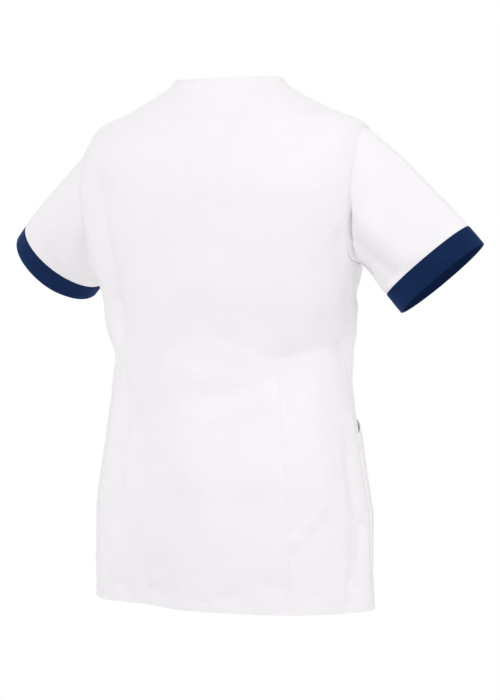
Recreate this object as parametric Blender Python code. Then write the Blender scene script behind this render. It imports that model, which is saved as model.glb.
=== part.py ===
"""Short-sleeved healthcare jacket in its worn, hollow shape, modelled in metres with +Z up.

The front faces -Y and the wearer's right is -X. The origin is midway between the two side neck
points at the base of the neck, where the wearer's shoulders carry the jacket.

One smooth form gives every body panel. It is a stack of closed rings, and a point on it has
  angle  degrees round the ring: 0 centre back, 90 the wearer's right, -90 the left, 180 centre front
  climb  how far up the side of the form, from the hem over the shoulder to the neck
Each panel is the stretch of the form between its seams. Pockets and buttons are made from the
same points moved out. The sleeves run from the armholes to the rings of their cuffs.
"""
import math
from typing import NamedTuple

import bpy
import numpy as np
from mathutils import Vector
from mathutils.bvhtree import BVHTree

RIGHT, LEFT = 1, -1         # the wearer's

# Cloth and seams
WALL = 0.0015               # folded and pressed twill, with its allowances
SEAM_GAP = 0.0003           # between neighbouring pieces
MITRE_MOST = 1.7            # how much a mitred edge may lengthen the wall

# Body seams, in degrees round the form, with the heights of their ends
SIDE_SEAM = 97.0
SHOULDER_SEAM = 90.0
UNDERARM_HEIGHT = -0.241
SHOULDER_TIP_HEIGHT = -0.064
ARMHOLE_BACK_REACH = 20.0
ARMHOLE_FRONT_REACH = 31.0
ARMHOLE_ROUND = 0.9         # power of the sine that bows the armhole: lower is squarer
PRINCESS_TIP = 0.007        # the side back panel stops this far below the top of its seam

# Neck and front edge
NECK_HALF_WIDTH = 0.0735
NECK_DROP = 0.125
BACK_NECK_DIP = 0.003
BACK_NECK_RUN = 0.13        # climb past the shoulder tip over which the back neck dips
HEM_TILT = 0.008            # the hem is this much higher behind, and lower in front
HEM_LEAN = 0.004            # and higher again at the wearer's left side
HEM_TILT_REACH = 0.25
LAP = 0.015                 # each front passes the centre by this much
LAP_RUN = 0.030             # the under front sinks below the upper one over this width
LAP_EARLY = 1.1             # the left front is fully down this much before the run's end
NECK_SLOPE_BEND = 0.85      # power of the front neck's slope: 1 is straight

# Sleeves and cuffs
CUFF_HALF_HEIGHT = 0.0695   # of the cuff ring, from under to over the arm
CUFF_HALF_DEPTH = 0.0400    # of the cuff ring, from back to front
CUFF_WIDTH = 0.0305

# Patch pockets, each a block of its front's own grid
POCKET_TOP_HEIGHT = -0.460
POCKET_BOTTOM_HEIGHT = -0.645
POCKET_COLUMNS = (1, 8)
POCKET_GAPE = 0.0030        # how far the mouth stands off the front
GAPE_EARLY = 1.2            # the mouth is fully open this much before the pocket's top

# Buttons down the centre front
BUTTON_HEIGHTS = (-0.155, -0.250, -0.345, -0.440, -0.535)
BUTTON_RADIUS = 0.0090
BUTTON_THICKNESS = 0.0028
BUTTON_SIDES = 20
HOLE_RADIUS = 0.0010
HOLE_OFFSET = 0.0022
HOLE_SIDES = 8

# Mesh fineness
SKIRT_ROWS = 3              # hem to the pockets
POCKET_ROWS = 6
WAIST_ROWS = 10             # pockets to the underarm
ARMHOLE_ROWS = 10
SHOULDER_ROWS = 5
BACK_COLUMNS = 16
SIDE_COLUMNS = 6
FRONT_COLUMNS = 12
SLEEVE_STEPS = 8
CUFF_STEPS = 2

# Finishes: name, linear RGB, roughness
WHITE_TWILL = ("white_twill", (0.90, 0.89, 0.91), 0.85)
NAVY_TWILL = ("navy_twill", (0.012, 0.022, 0.075), 0.80)
BUTTON_PLASTIC = ("white_button_plastic", (0.86, 0.86, 0.85), 0.30)


class Sleeve(NamedTuple):
    """How a sleeve is held, in directions for the wearer's right arm."""
    end: tuple              # middle of the join of sleeve and cuff
    axis: tuple             # out of the cuff
    over: tuple             # from under to over the arm, across the cuff
    leaves: tuple           # out of the armhole


SLEEVES = {
    RIGHT: Sleeve(end=(-0.2824, -0.0134, -0.2381), axis=(-0.642, -0.125, -0.757),
                  over=(-0.704, -0.297, 0.646), leaves=(-0.800, 0.020, -0.600)),
    LEFT: Sleeve(end=(-0.3011, -0.0504, -0.2278), axis=(-0.734, -0.427, -0.527),
                 over=(-0.678, 0.421, 0.603), leaves=(-0.720, -0.050, -0.690)),
}


class Section(NamedTuple):
    """A ring of the form. Its depths are measured from its widest place, the centre."""
    height: float
    half_width: float
    centre: float           # how far behind the origin
    back_depth: float
    front_depth: float
    squareness: float


SECTIONS = (
    #       height  half_width centre   back   front  squareness
    Section(-0.700, 0.1960, -0.006, 0.1560, 0.1500, 0.010),
    Section(-0.640, 0.1950, -0.004, 0.1550, 0.1480, 0.012),
    Section(-0.560, 0.1915, -0.002, 0.1500, 0.1440, 0.015),
    Section(-0.480, 0.1800, 0.000, 0.1380, 0.1340, 0.018),
    Section(-0.400, 0.1710, 0.000, 0.1250, 0.1240, 0.020),
    Section(-0.340, 0.1740, 0.003, 0.1240, 0.1310, 0.022),
    Section(-0.285, 0.1805, 0.015, 0.1180, 0.1500, 0.030),
    Section(-0.243, 0.1885, 0.023, 0.1130, 0.1620, 0.050),
    Section(-0.180, 0.2030, 0.023, 0.1130, 0.1540, 0.090),
    Section(-0.120, 0.2070, 0.016, 0.1140, 0.1330, 0.100),
    Section(-0.085, 0.2060, 0.009, 0.1080, 0.1120, 0.080),
    Section(-0.064, 0.2010, 0.006, 0.0980, 0.0970, 0.045),
    Section(-0.037, 0.1480, 0.007, 0.0840, 0.0820, 0.025),
    Section(-0.012, 0.0990, 0.009, 0.0670, 0.0700, 0.010),
    Section(-0.001, 0.0820, 0.010, 0.0590, 0.0640, 0.005),
    Section(0.0070, 0.0755, 0.010, 0.0560, 0.0600, 0.000),
)


class SeamPoint(NamedTuple):
    """A point that a princess seam passes through."""
    height: float
    angle: float


PRINCESS_SEAM = (
    SeamPoint(-0.700, 46.4),
    SeamPoint(-0.573, 45.6),
    SeamPoint(-0.458, 45.0),
    SeamPoint(-0.358, 43.8),
    SeamPoint(-0.276, 46.5),
    SeamPoint(-0.240, 48.5),
    SeamPoint(-0.207, 52.5),
    SeamPoint(-0.181, 61.0),
    SeamPoint(-0.166, 76.0),
)


class Fold(NamedTuple):
    """A soft ridge along a line on the form, or a trough where its lift is negative."""
    from_angle: float
    from_height: float
    to_angle: float
    to_height: float
    half_width: float
    lift: float


FOLDS = (
    #    from: angle height   to: angle height  half_width  lift
    Fold(46.0, -0.374, 98.0, -0.358, 0.020, -0.0060),    # waist crease, right side back
    Fold(52.0, -0.322, 100.0, -0.314, 0.026, 0.0050),    # cloth that blouses over it
    Fold(-12.0, -0.300, 40.0, -0.378, 0.022, -0.0040),   # drag line from mid back to the waist
    Fold(-44.0, -0.180, -46.0, -0.300, 0.020, -0.0035),  # behind the left armhole
    Fold(-52.0, -0.460, -46.0, -0.690, 0.020, -0.0040),  # beside the left princess seam
    Fold(-24.0, -0.520, -18.0, -0.700, 0.030, 0.0035),   # skirt of the back, left
    Fold(22.0, -0.500, 26.0, -0.700, 0.030, 0.0030),     # skirt of the back, right
    Fold(-98.0, -0.350, -52.0, -0.368, 0.020, -0.0045),  # waist crease, left side back
    Fold(112.0, -0.310, 150.0, -0.260, 0.024, -0.0035),  # drag line to the right bust
    Fold(-112.0, -0.320, -150.0, -0.265, 0.024, -0.0035),
    Fold(120.0, -0.390, 168.0, -0.405, 0.022, -0.0035),  # waist of the fronts
    Fold(-118.0, -0.405, -166.0, -0.390, 0.022, -0.0035),
)
FOLD_RADIUS = 0.160         # turns an angle on the form into a distance round it


def smooth_through(places, values, at):
    """Cubic curve through (place, value) pairs, its slopes taken from the neighbours."""
    places, values, at = np.asarray(places), np.asarray(values), np.asarray(at, dtype=float)
    slopes = np.gradient(values, places)
    low = np.clip(np.searchsorted(places, at) - 1, 0, len(places) - 2)
    step = places[low + 1] - places[low]
    part = (at - places[low]) / step
    return hermite(values[low], slopes[low] * step, values[low + 1], slopes[low + 1] * step, part)


def hermite(start, leaving, end, arriving, part):
    """Cubic run between two values with a slope at each end."""
    rest = 1.0 - part
    return ((1 + 2 * part) * rest ** 2 * start + part * rest ** 2 * leaving
            + (1 + 2 * rest) * part ** 2 * end - rest * part ** 2 * arriving)


def ease(value):
    """0 below 0, 1 above 1, and a smooth step between."""
    value = np.clip(value, 0.0, 1.0)
    return value * value * (3 - 2 * value)


def unit(vectors):
    """Vectors of length 1."""
    return vectors / np.linalg.norm(vectors, axis=-1, keepdims=True)


def on_side(vectors, side):
    """Vectors given for the wearer's right, on either side."""
    return vectors * np.array([float(side), 1.0, 1.0])


def column(name):
    """One column of the section table."""
    return np.array([getattr(section, name) for section in SECTIONS])


CLIMBS = np.concatenate(
    ([0.0], np.cumsum(np.hypot(np.diff(column("height")), np.diff(column("half_width"))))))
FINE_CLIMBS = np.linspace(0.0, CLIMBS[-1], 2001)


def across_sections(name, climb):
    """A dimension of the form at any climb."""
    return smooth_through(CLIMBS, column(name), climb)


def climb_at(height):
    """The climb of a height, which rises all the way from the hem to the neck."""
    return float(np.interp(height, across_sections("height", FINE_CLIMBS), FINE_CLIMBS))


UNDERARM = climb_at(UNDERARM_HEIGHT)
SHOULDER_TIP = climb_at(SHOULDER_TIP_HEIGHT)
PRINCESS_TOP = climb_at(PRINCESS_SEAM[-1].height)
POCKET_BOTTOM = climb_at(POCKET_BOTTOM_HEIGHT)
POCKET_TOP = climb_at(POCKET_TOP_HEIGHT)
FRONT_NECK = climb_at(-NECK_DROP)
NECK_POINT = float(CLIMBS[-1])
ARMHOLE_MIDDLE = (UNDERARM + SHOULDER_TIP) / 2
ARMHOLE_HALF = (SHOULDER_TIP - UNDERARM) / 2


def fold_lift(angle, height):
    """How far the folds lift the cloth: each is a bell across its line, with soft ends."""
    lift = np.zeros(angle.shape)
    round_form = np.radians((angle + 180.0) % 360.0 - 180.0) * FOLD_RADIUS
    for fold in FOLDS:
        start = np.array([math.radians(fold.from_angle) * FOLD_RADIUS, fold.from_height])
        end = np.array([math.radians(fold.to_angle) * FOLD_RADIUS, fold.to_height])
        length = np.linalg.norm(end - start)
        along = (end - start) / length
        reach = np.stack([round_form - start[0], height - start[1]], axis=-1)
        part = reach @ along / length
        across = reach @ np.array([-along[1], along[0]])
        ends = ease(part * 4 + 0.5) * ease((1 - part) * 4 + 0.5)
        lift += fold.lift * np.exp(-(across / fold.half_width) ** 2) * ends
    return lift


def form(angle, climb):
    """Points of the outside of the cloth."""
    angle, climb = np.broadcast_arrays(np.asarray(angle, float), np.asarray(climb, float))
    sine, cosine = np.sin(np.radians(angle)), np.cos(np.radians(angle))
    height = across_sections("height", climb)
    half_width = across_sections("half_width", climb)
    depth = np.where(cosine > 0, across_sections("back_depth", climb),
                     across_sections("front_depth", climb))
    bulge = 1 + across_sections("squareness", climb) * (2 * sine * cosine) ** 2
    hem_rise = HEM_TILT * cosine + HEM_LEAN * np.clip(-sine, 0, 1)
    height = (height + hem_rise * ease(1 - climb / HEM_TILT_REACH)
              - BACK_NECK_DIP * np.clip(cosine, 0, 1) ** 2 * ease((climb - SHOULDER_TIP) / BACK_NECK_RUN))
    back = across_sections("centre", climb) + depth * cosine * bulge
    points = np.stack([-half_width * sine * bulge, back, height], axis=-1)
    outward = unit(np.stack([-sine / half_width, cosine / depth, 0 * sine], axis=-1))
    return points + outward * fold_lift(angle, height)[..., None]


def form_normals(angle, climb):
    """Unit normals of the form, pointing out of the jacket."""
    angle, climb = np.broadcast_arrays(np.asarray(angle, float), np.asarray(climb, float))
    onward = form(angle + 0.3, climb) - form(angle - 0.3, climb)
    upward = (form(angle, np.minimum(climb + 0.001, NECK_POINT))
              - form(angle, np.maximum(climb - 0.001, 0.0)))
    return unit(np.cross(onward, upward))


def armhole(turn):
    """Angle and climb of the armhole: turn 0 under the arm, pi / 2 behind it, pi over it."""
    climb = ARMHOLE_MIDDLE - ARMHOLE_HALF * np.cos(turn)
    centre = SIDE_SEAM + (SHOULDER_SEAM - SIDE_SEAM) * (1 - np.cos(turn)) / 2
    reach = np.where(np.sin(turn) > 0, -ARMHOLE_BACK_REACH, ARMHOLE_FRONT_REACH)
    return centre + reach * np.abs(np.sin(turn)) ** ARMHOLE_ROUND, climb


def armhole_turn(climb):
    """Turn of the back of the armhole at a climb."""
    return np.arccos(np.clip((ARMHOLE_MIDDLE - climb) / ARMHOLE_HALF, -1.0, 1.0))


def armhole_points(side, turn):
    """Points round an armhole."""
    angle, climb = armhole(turn)
    return form(side * angle, climb)


def sleeve_frame(side):
    """Unit directions of a sleeve: out of its cuff, over the arm, and behind the arm."""
    axis, over = (np.array(way) for way in (SLEEVES[side].axis, SLEEVES[side].over))
    axis = unit(axis)
    over = unit(over - (over @ axis) * axis)
    return axis, over, np.cross(axis, over)


def cuff_ring(side, turn, along):
    """Points round the cuff, a distance along the sleeve's axis from the join."""
    axis, over, back = sleeve_frame(side)
    turn = np.asarray(turn)[..., None]
    ring = (np.array(SLEEVES[side].end) + along * axis - CUFF_HALF_HEIGHT * np.cos(turn) * over
            + CUFF_HALF_DEPTH * np.sin(turn) * back)
    return on_side(ring, side)


def sleeve_points(side, turn, steps):
    """The sleeve's outside from the armhole (step 0) to the cuff (step 1)."""
    start, end = armhole_points(side, turn), cuff_ring(side, turn, 0.0)
    length = np.linalg.norm(end - start, axis=-1, keepdims=True)
    leaving = length * on_side(unit(np.array(SLEEVES[side].leaves)), side)
    arriving = length * on_side(unit(np.array(SLEEVES[side].axis)), side)
    return hermite(start, leaving, end, arriving, np.asarray(steps)[:, None, None])


def armhole_mitres(side, turn):
    """Normals half-way between body and sleeve round the armhole, lengthened as a mitre is."""
    angle, climb = armhole(turn)
    body_normals = form_normals(side * angle, climb)
    onward = armhole_points(side, turn + 0.02) - armhole_points(side, turn - 0.02)
    first, second = sleeve_points(side, turn, [0.0, 0.02])
    sleeve_normals = side * unit(np.cross(second - first, onward))
    mitres = unit(body_normals + sleeve_normals)
    lean = np.sum(mitres * body_normals, axis=-1, keepdims=True)
    return mitres / np.maximum(lean, 1.0 / MITRE_MOST)


def body_rows():
    """Climbs of the rows that all body panels share, from the hem to the neck."""
    skirt = np.linspace(0.0, POCKET_BOTTOM, SKIRT_ROWS + 1)
    pocket = np.linspace(POCKET_BOTTOM, POCKET_TOP, POCKET_ROWS + 1)
    waist = np.linspace(POCKET_TOP, UNDERARM, WAIST_ROWS + 1)
    even = np.linspace(-1.0, 1.0, ARMHOLE_ROWS + 1)
    arm = ARMHOLE_MIDDLE + ARMHOLE_HALF * (even + np.sin(even * math.pi / 2)) / 2
    arm[np.argmin(np.abs(arm - PRINCESS_TOP))] = PRINCESS_TOP
    arm[np.argmin(np.abs(arm - FRONT_NECK))] = FRONT_NECK
    shoulder = np.linspace(SHOULDER_TIP, NECK_POINT, SHOULDER_ROWS + 1)
    tip = [PRINCESS_TOP - PRINCESS_TIP]
    return np.unique(np.round(np.concatenate([skirt, pocket, waist, arm, shoulder, tip]), 7))


ROWS = body_rows()
ON_ARMHOLE = (ROWS > UNDERARM - 1e-6) & (ROWS < SHOULDER_TIP + 1e-6)


def princess_edge(rows):
    """Angle of the back princess seam."""
    climbs = [climb_at(point.height) for point in PRINCESS_SEAM]
    return smooth_through(climbs, [point.angle for point in PRINCESS_SEAM], rows)


def outer_edge(rows, in_front):
    """Angle of a panel's edge at the side seam, then the armhole, then the shoulder seam."""
    turn = armhole_turn(rows)
    arm = armhole(2 * math.pi - turn if in_front else turn)[0]
    return np.where(rows < UNDERARM, SIDE_SEAM, np.where(rows < SHOULDER_TIP, arm, SHOULDER_SEAM))


def inner_front_edge(rows):
    """Angle of a front's edge, past the centre and then up the slope of the neck."""
    height = across_sections("height", rows)
    rise = np.clip((height + NECK_DROP) / (SECTIONS[-1].height + NECK_DROP), 0.0, 1.0)
    reach = -LAP + (NECK_HALF_WIDTH + LAP) * rise ** NECK_SLOPE_BEND
    return 180.0 - np.degrees(np.arcsin(reach / across_sections("half_width", rows)))


class Panel:
    """A stretch of the form between two edges, as a grid of points with wall directions."""

    def __init__(self, side, rows, from_edge, to_edge, columns):
        share = np.linspace(0.0, 1.0, columns + 1)
        across = from_edge[:, None] + (to_edge - from_edge)[:, None] * share
        self.side = side
        self.rows = rows
        self.angle = side * across
        self.climb = np.broadcast_to(rows[:, None], across.shape)
        self.points = form(self.angle, self.climb)
        self.walls = form_normals(self.angle, self.climb)

    def mitre(self, side, at_column, in_front, lowest=UNDERARM):
        """Turn the walls along an armhole edge half-way to the sleeve's."""
        on_armhole = (self.rows > lowest - 1e-6) & (self.rows < SHOULDER_TIP + 1e-6)
        turn = armhole_turn(self.rows[on_armhole])
        turn = 2 * math.pi - turn if in_front else turn
        self.walls[on_armhole, at_column] = armhole_mitres(side, turn)

    def sink(self, depth):
        """Move the cloth in, by a depth for each angle."""
        self.points = self.points - self.walls * depth[..., None]

    def build(self, name):
        """Make the panel, with its columns in the order that faces it out."""
        order = slice(None, None, self.side)
        return add_shell(name, self.points[:, order], self.walls[:, order], WHITE_TWILL)


def drawn_in(grid, walls, closed):
    """A grid with its open edges drawn in by half a seam gap, measured across the seam's wall."""
    def draw(edge, neighbour, wall):
        """Edge points moved towards their inner neighbours."""
        way = unit(neighbour - edge)
        lean = np.sum(way * unit(wall), axis=-1, keepdims=True)
        return edge + way * (SEAM_GAP / 2) / np.sqrt(np.clip(1 - lean ** 2, 0.1, 1.0))

    drawn = grid.copy()
    drawn[0] = draw(grid[0], grid[1], walls[0])
    drawn[-1] = draw(grid[-1], grid[-2], walls[-1])
    if not closed:
        whole = drawn.copy()
        drawn[:, 0] = draw(whole[:, 0], whole[:, 1], walls[:, 0])
        drawn[:, -1] = draw(whole[:, -1], whole[:, -2], walls[:, -1])
    return drawn


def shell_faces(grid, closed):
    """Triangles of a shell: its outer grid, its inner grid, and the walls along open edges."""
    rows, columns = grid.shape[:2]
    count = rows * columns
    index = np.arange(count).reshape(rows, columns)
    if closed:
        index = np.concatenate([index, index[:, :1]], axis=1)
    near, onward = index[:-1, :-1], index[:-1, 1:]
    above, across = index[1:, :-1], index[1:, 1:]
    points = grid.reshape(-1, 3)
    rising = np.linalg.norm(points[near] - points[across], axis=-1)
    falling = np.linalg.norm(points[onward] - points[above], axis=-1)
    outer = np.where((rising < falling)[..., None],
                     np.stack([near, across, above, near, onward, across], axis=-1),
                     np.stack([near, onward, above, onward, across, above], axis=-1)).reshape(-1, 3)
    edges = [index[0][::-1], index[-1]]
    if not closed:
        edges += [index[:, 0], index[::-1, -1]]
    faces = [outer, outer[:, ::-1] + count]
    for edge in edges:
        start, end = edge[:-1], edge[1:]
        quads = [start, end, end + count, start, end + count, start + count]
        faces.append(np.stack(quads, axis=-1).reshape(-1, 3))
    return np.concatenate(faces)


def finish_material(name, colour, roughness):
    """A finish, made once."""
    made = bpy.data.materials.get(name)
    if made is None:
        made = bpy.data.materials.new(name)
        made.use_nodes = True
        shader = made.node_tree.nodes["Principled BSDF"]
        shader.inputs["Base Color"].default_value = (*colour, 1.0)
        shader.inputs["Roughness"].default_value = roughness
        shader.inputs["Metallic"].default_value = 0.0
    return made


def add_shell(name, outer, walls, finish, closed=False):
    """A cloth piece: an outer grid, with the same grid moved in by the wall."""
    grids = [drawn_in(grid, walls, closed) for grid in (outer, outer - WALL * walls)]
    points = np.concatenate(grids).reshape(-1, 3)
    mesh = bpy.data.meshes.new(name)
    mesh.from_pydata(points.tolist(), [], shell_faces(outer, closed).tolist())
    mesh.shade_smooth()
    mesh.set_sharp_from_angle(angle=math.radians(50))
    mesh.materials.append(finish_material(*finish))
    piece = bpy.data.objects.new(name, mesh)
    bpy.context.scene.collection.objects.link(piece)
    return piece


def add_back_centre():
    """The back between its princess seams, up to the shoulder seams and the neck."""
    edge = np.where(ROWS < PRINCESS_TOP, princess_edge(ROWS), outer_edge(ROWS, in_front=False))
    panel = Panel(RIGHT, ROWS, -edge, edge, BACK_COLUMNS)
    panel.mitre(LEFT, 0, in_front=False, lowest=PRINCESS_TOP)
    panel.mitre(RIGHT, -1, in_front=False, lowest=PRINCESS_TOP)
    panel.build("back_centre")


def add_back_side(side, name):
    """A side back, between the princess seam and the side seam, up to the armhole."""
    rows = ROWS[ROWS < PRINCESS_TOP - PRINCESS_TIP + 1e-6]
    panel = Panel(side, rows, princess_edge(rows), outer_edge(rows, in_front=False), SIDE_COLUMNS)
    panel.mitre(side, -1, in_front=False)
    panel.build(name)


def front_panel(side):
    """A front, from the side seam past the centre."""
    panel = Panel(side, ROWS, outer_edge(ROWS, in_front=True), inner_front_edge(ROWS), FRONT_COLUMNS)
    panel.mitre(side, 0, in_front=True)
    return panel


def add_front(side, name):
    """A front. The left one sinks below the right one towards the centre."""
    panel = front_panel(side)
    if side == LEFT:
        half_width = across_sections("half_width", panel.climb)
        past = np.abs(panel.angle) - 180.0 + np.degrees((LAP + LAP_RUN) / half_width)
        depth = (WALL + 2 * SEAM_GAP) * ease(past / np.degrees(LAP_RUN / half_width) * LAP_EARLY)
        panel.sink(depth)
    panel.build(name)


def add_sleeve(side, name):
    """A set-in sleeve, from the armhole to the cuff."""
    up = armhole_turn(ROWS[ON_ARMHOLE])
    turn = np.concatenate([up, 2 * math.pi - up[-2:0:-1]])[::-side]
    steps = np.linspace(0.0, 1.0, SLEEVE_STEPS + 1)
    points = sleeve_points(side, turn, steps)
    onward = np.roll(points, -1, axis=1) - np.roll(points, 1, axis=1)
    outward = np.gradient(points, axis=0)
    walls = unit(np.cross(onward, outward))
    walls[0] = armhole_mitres(side, turn)
    walls[-1] = cuff_walls(side, turn)
    add_shell(name, points, walls, WHITE_TWILL, closed=True)


def cuff_walls(side, turn):
    """Directions out from the middle of a cuff, square to its ring."""
    _, over, back = sleeve_frame(side)
    turn = turn[..., None]
    out = (-np.cos(turn) / CUFF_HALF_HEIGHT) * over + (np.sin(turn) / CUFF_HALF_DEPTH) * back
    return on_side(unit(out), side)


def add_cuff(side, name):
    """A double band sewn to the end of a sleeve."""
    up = armhole_turn(ROWS[ON_ARMHOLE])
    turn = np.concatenate([up, 2 * math.pi - up[-2:0:-1]])[::-side]
    along = np.linspace(0.0, CUFF_WIDTH, CUFF_STEPS + 1)
    points = np.stack([cuff_ring(side, turn, step) for step in along])
    walls = np.broadcast_to(cuff_walls(side, turn), points.shape)
    add_shell(name, points, walls, NAVY_TWILL, closed=True)


def add_pocket(side, name):
    """A patch pocket: a block of its front's grid moved out, with a slightly open mouth."""
    front = front_panel(side)
    rows = (ROWS > POCKET_BOTTOM - 1e-6) & (ROWS < POCKET_TOP + 1e-6)
    columns = slice(POCKET_COLUMNS[0], POCKET_COLUMNS[1] + 1)
    points, walls = front.points[rows, columns], front.walls[rows, columns]
    up = np.linspace(0.0, 1.0, points.shape[0])[:, None]
    across = np.linspace(0.0, 1.0, points.shape[1])
    gape = POCKET_GAPE * np.sin(math.pi * across) * ease(up * GAPE_EARLY)
    outer = points + walls * (SEAM_GAP + WALL + gape)[..., None]
    order = slice(None, None, side)
    add_shell(name, outer[:, order], walls[:, order], WHITE_TWILL)


def add_button(name, height, front):
    """A flat four-hole button, set down until it nearly meets the right front's facets."""
    outline = bpy.data.curves.new(name, "CURVE")
    outline.dimensions = "2D"
    outline.fill_mode = "BOTH"
    outline.extrude = BUTTON_THICKNESS / 2
    add_circle(outline, 0.0, 0.0, BUTTON_RADIUS, BUTTON_SIDES)
    for hole in range(4):
        quarter = math.radians(45 + 90 * hole)
        x, y = HOLE_OFFSET * math.cos(quarter), HOLE_OFFSET * math.sin(quarter)
        add_circle(outline, x, y, HOLE_RADIUS, HOLE_SIDES)
    outline.materials.append(finish_material(*BUTTON_PLASTIC))
    piece = bpy.data.objects.new(name, outline)
    bpy.context.scene.collection.objects.link(piece)
    climb = climb_at(height)
    normal = form_normals(180.0, climb)
    above = form(180.0, climb) + normal * BUTTON_RADIUS
    upward = np.cross(normal, (1.0, 0.0, 0.0))
    turn = np.linspace(0.0, 2 * math.pi, BUTTON_SIDES + 1)[:-1, None]
    rim = above + BUTTON_RADIUS * (np.cos(turn) * (1.0, 0.0, 0.0) + np.sin(turn) * upward)
    drops = [front.ray_cast(Vector(point), Vector(-normal))[3] for point in (above, *rim)]
    piece.location = above + normal * (SEAM_GAP + BUTTON_THICKNESS / 2 - min(drops))
    piece.rotation_euler = (math.acos(normal[2]), 0.0, 0.0)


def add_circle(outline, x, y, radius, sides):
    """A closed polygon on a flat outline."""
    spline = outline.splines.new("POLY")
    spline.points.add(sides - 1)
    for number, point in enumerate(spline.points):
        turn = 2 * math.pi * number / sides
        point.co = (x + radius * math.cos(turn), y + radius * math.sin(turn), 0.0, 1.0)
    spline.use_cyclic_u = True


def main():
    """Clear the scene and add every piece of the jacket."""
    for old in list(bpy.data.objects):
        bpy.data.objects.remove(old, do_unlink=True)
    add_back_centre()
    for side, letter in ((RIGHT, "R"), (LEFT, "L")):
        add_back_side(side, f"back_side_{letter}")
        add_front(side, f"front_{letter}")
        add_sleeve(side, f"sleeve_{letter}")
        add_cuff(side, f"cuff_{letter}")
        add_pocket(side, f"pocket_{letter}")
    cloth = bpy.data.objects["front_R"].data
    front = BVHTree.FromPolygons([vertex.co for vertex in cloth.vertices],
                                 [face.vertices for face in cloth.polygons])
    for number, height in enumerate(BUTTON_HEIGHTS, start=1):
        add_button(f"button_{number}", height, front)


if __name__ == "__main__":
    main()
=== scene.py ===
"""Looks of the short-sleeved healthcare jacket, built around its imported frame.

It is in metres with +Z up. The jacket keeps its worn, hollow shape. Its front faces -Y and the
wearer's right is -X. Every cloth piece is a thin shell on one smooth form, whose points have
  angle  degrees round the body: 0 centre back, 90 right, -90 left, 180 centre front
  climb  metres up the side of the form, from the hem over the shoulder to the neck
"""
import logging
import math
from collections.abc import Callable
from dataclasses import dataclass, field
from enum import Enum

import bmesh
import bpy
import numpy as np
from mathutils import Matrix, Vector

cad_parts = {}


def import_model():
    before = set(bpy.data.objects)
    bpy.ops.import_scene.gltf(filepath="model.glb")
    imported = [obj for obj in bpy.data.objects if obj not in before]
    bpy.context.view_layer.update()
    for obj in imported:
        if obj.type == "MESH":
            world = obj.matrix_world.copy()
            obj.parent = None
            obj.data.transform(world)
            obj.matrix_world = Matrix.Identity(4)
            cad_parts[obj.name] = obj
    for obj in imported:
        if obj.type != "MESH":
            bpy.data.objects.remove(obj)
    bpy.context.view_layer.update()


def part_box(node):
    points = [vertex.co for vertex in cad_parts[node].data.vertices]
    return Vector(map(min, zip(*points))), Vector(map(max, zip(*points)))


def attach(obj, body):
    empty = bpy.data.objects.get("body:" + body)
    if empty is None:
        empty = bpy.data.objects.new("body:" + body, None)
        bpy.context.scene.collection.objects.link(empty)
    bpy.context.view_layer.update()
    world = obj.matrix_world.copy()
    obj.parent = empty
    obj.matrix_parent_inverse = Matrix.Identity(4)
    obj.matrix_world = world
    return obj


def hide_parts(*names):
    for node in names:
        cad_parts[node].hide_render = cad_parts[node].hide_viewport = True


Array = np.ndarray
PanelMap = Callable[[Array, Array], Array]      # metres at a panel's (share across, share up)
LOG = logging.getLogger("jacket")
BODY = "root"                   # the jacket has no joints, so everything rides on one body
MM = 0.001
BODY_RADIUS = 0.160             # turns an angle on the form into a distance round it
ARM_RADIUS = 0.055              # the same for a sleeve

CLOTH_WALL = 1.0 * MM           # twill, pressed
SEAM_DIP = 0.9 * MM             # how deep a sewn seam draws the cloth in
SEAM_REACH = 1.1 * MM
SEAM_PUFF = 0.35 * MM           # the pressed allowances lift the cloth beside a seam
PUFF_PLACE = 5.0 * MM           # the middle of that lift, from the seam
PUFF_REACH = 3.5 * MM
PUFF_PUCKER = 0.6               # how much of the puckers it carries
ALLOWANCE = 10.0 * MM           # width of the allowances inside
ALLOWANCE_WALL = 0.8 * MM
ALLOWANCE_SLOPE = 1.5 * MM
HEM_WIDTH = 13.0 * MM
HEM_PAST = 2.0 * MM             # a hem's inner layer ends this far past its stitches
GROOVE_DEPTH = 0.30 * MM        # a row of stitches sinks into the cloth
GROOVE_REACH = 0.9 * MM
PUCKER_REACH = 9.0 * MM         # and puckers it on both sides
FOLD_REACH = 0.8 * MM           # a folded edge is rounded over this distance
FOLD_SHARE = 0.47               # of the wall, taken from each face by the rounding
NECK_STITCH = 5.0 * MM          # from the neck and front edges
STITCH_PITCH = 3.2 * MM
STITCH_LENGTH = 2.5 * MM
THREAD_RADIUS = 0.30 * MM

# how far apart the points of the cloth are, and their distances from its edges, where they are
# close together for the roundings, dips and grooves
GRID_STEP = 2.9 * MM
EDGE_STEPS = np.array([0, .15, .4, .8, 1.3, 2.0, 3.2, 5.0, 7.5, 9.5, 10.5]) * MM
HEM_STEPS = np.array([0, .15, .4, .8, 1.6, 3.2, 6.0, 9.0, 11.4, 12.3, 13.0, 13.7, 14.8, 17.5]) * MM
NECK_STEPS = np.array([0, .15, .4, .8, 1.6, 2.9, 4.2, 5.0, 5.8, 7.5, 10]) * MM
ARMHOLE_STEPS = np.array([0, .4, .9, 1.6, 2.6, 4.0, 6.0, 8.5, 10.5]) * MM
CUFF_STEPS = np.array([0, .15, .4, .8, 1.4, 2.2, 3.4, 5.0]) * MM


class Side(Enum):
    """A side of the wearer, with its sign on the form."""
    RIGHT = 1
    LEFT = -1

    @property
    def letter(self) -> str:
        """Letter that ends the names of this side's pieces."""
        return self.name[0]


class Edge(Enum):
    """How an edge of a cloth piece is finished."""
    SEAM = "sewn to its neighbour"
    FOLD = "folded over"


# ---------------------------------------------------------------- small maths


def ease(value: Array) -> Array:
    """0 below 0, 1 above 1, and 3 t^2 - 2 t^3 between."""
    value = np.clip(value, 0.0, 1.0)
    return value * value * (3 - 2 * value)


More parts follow.
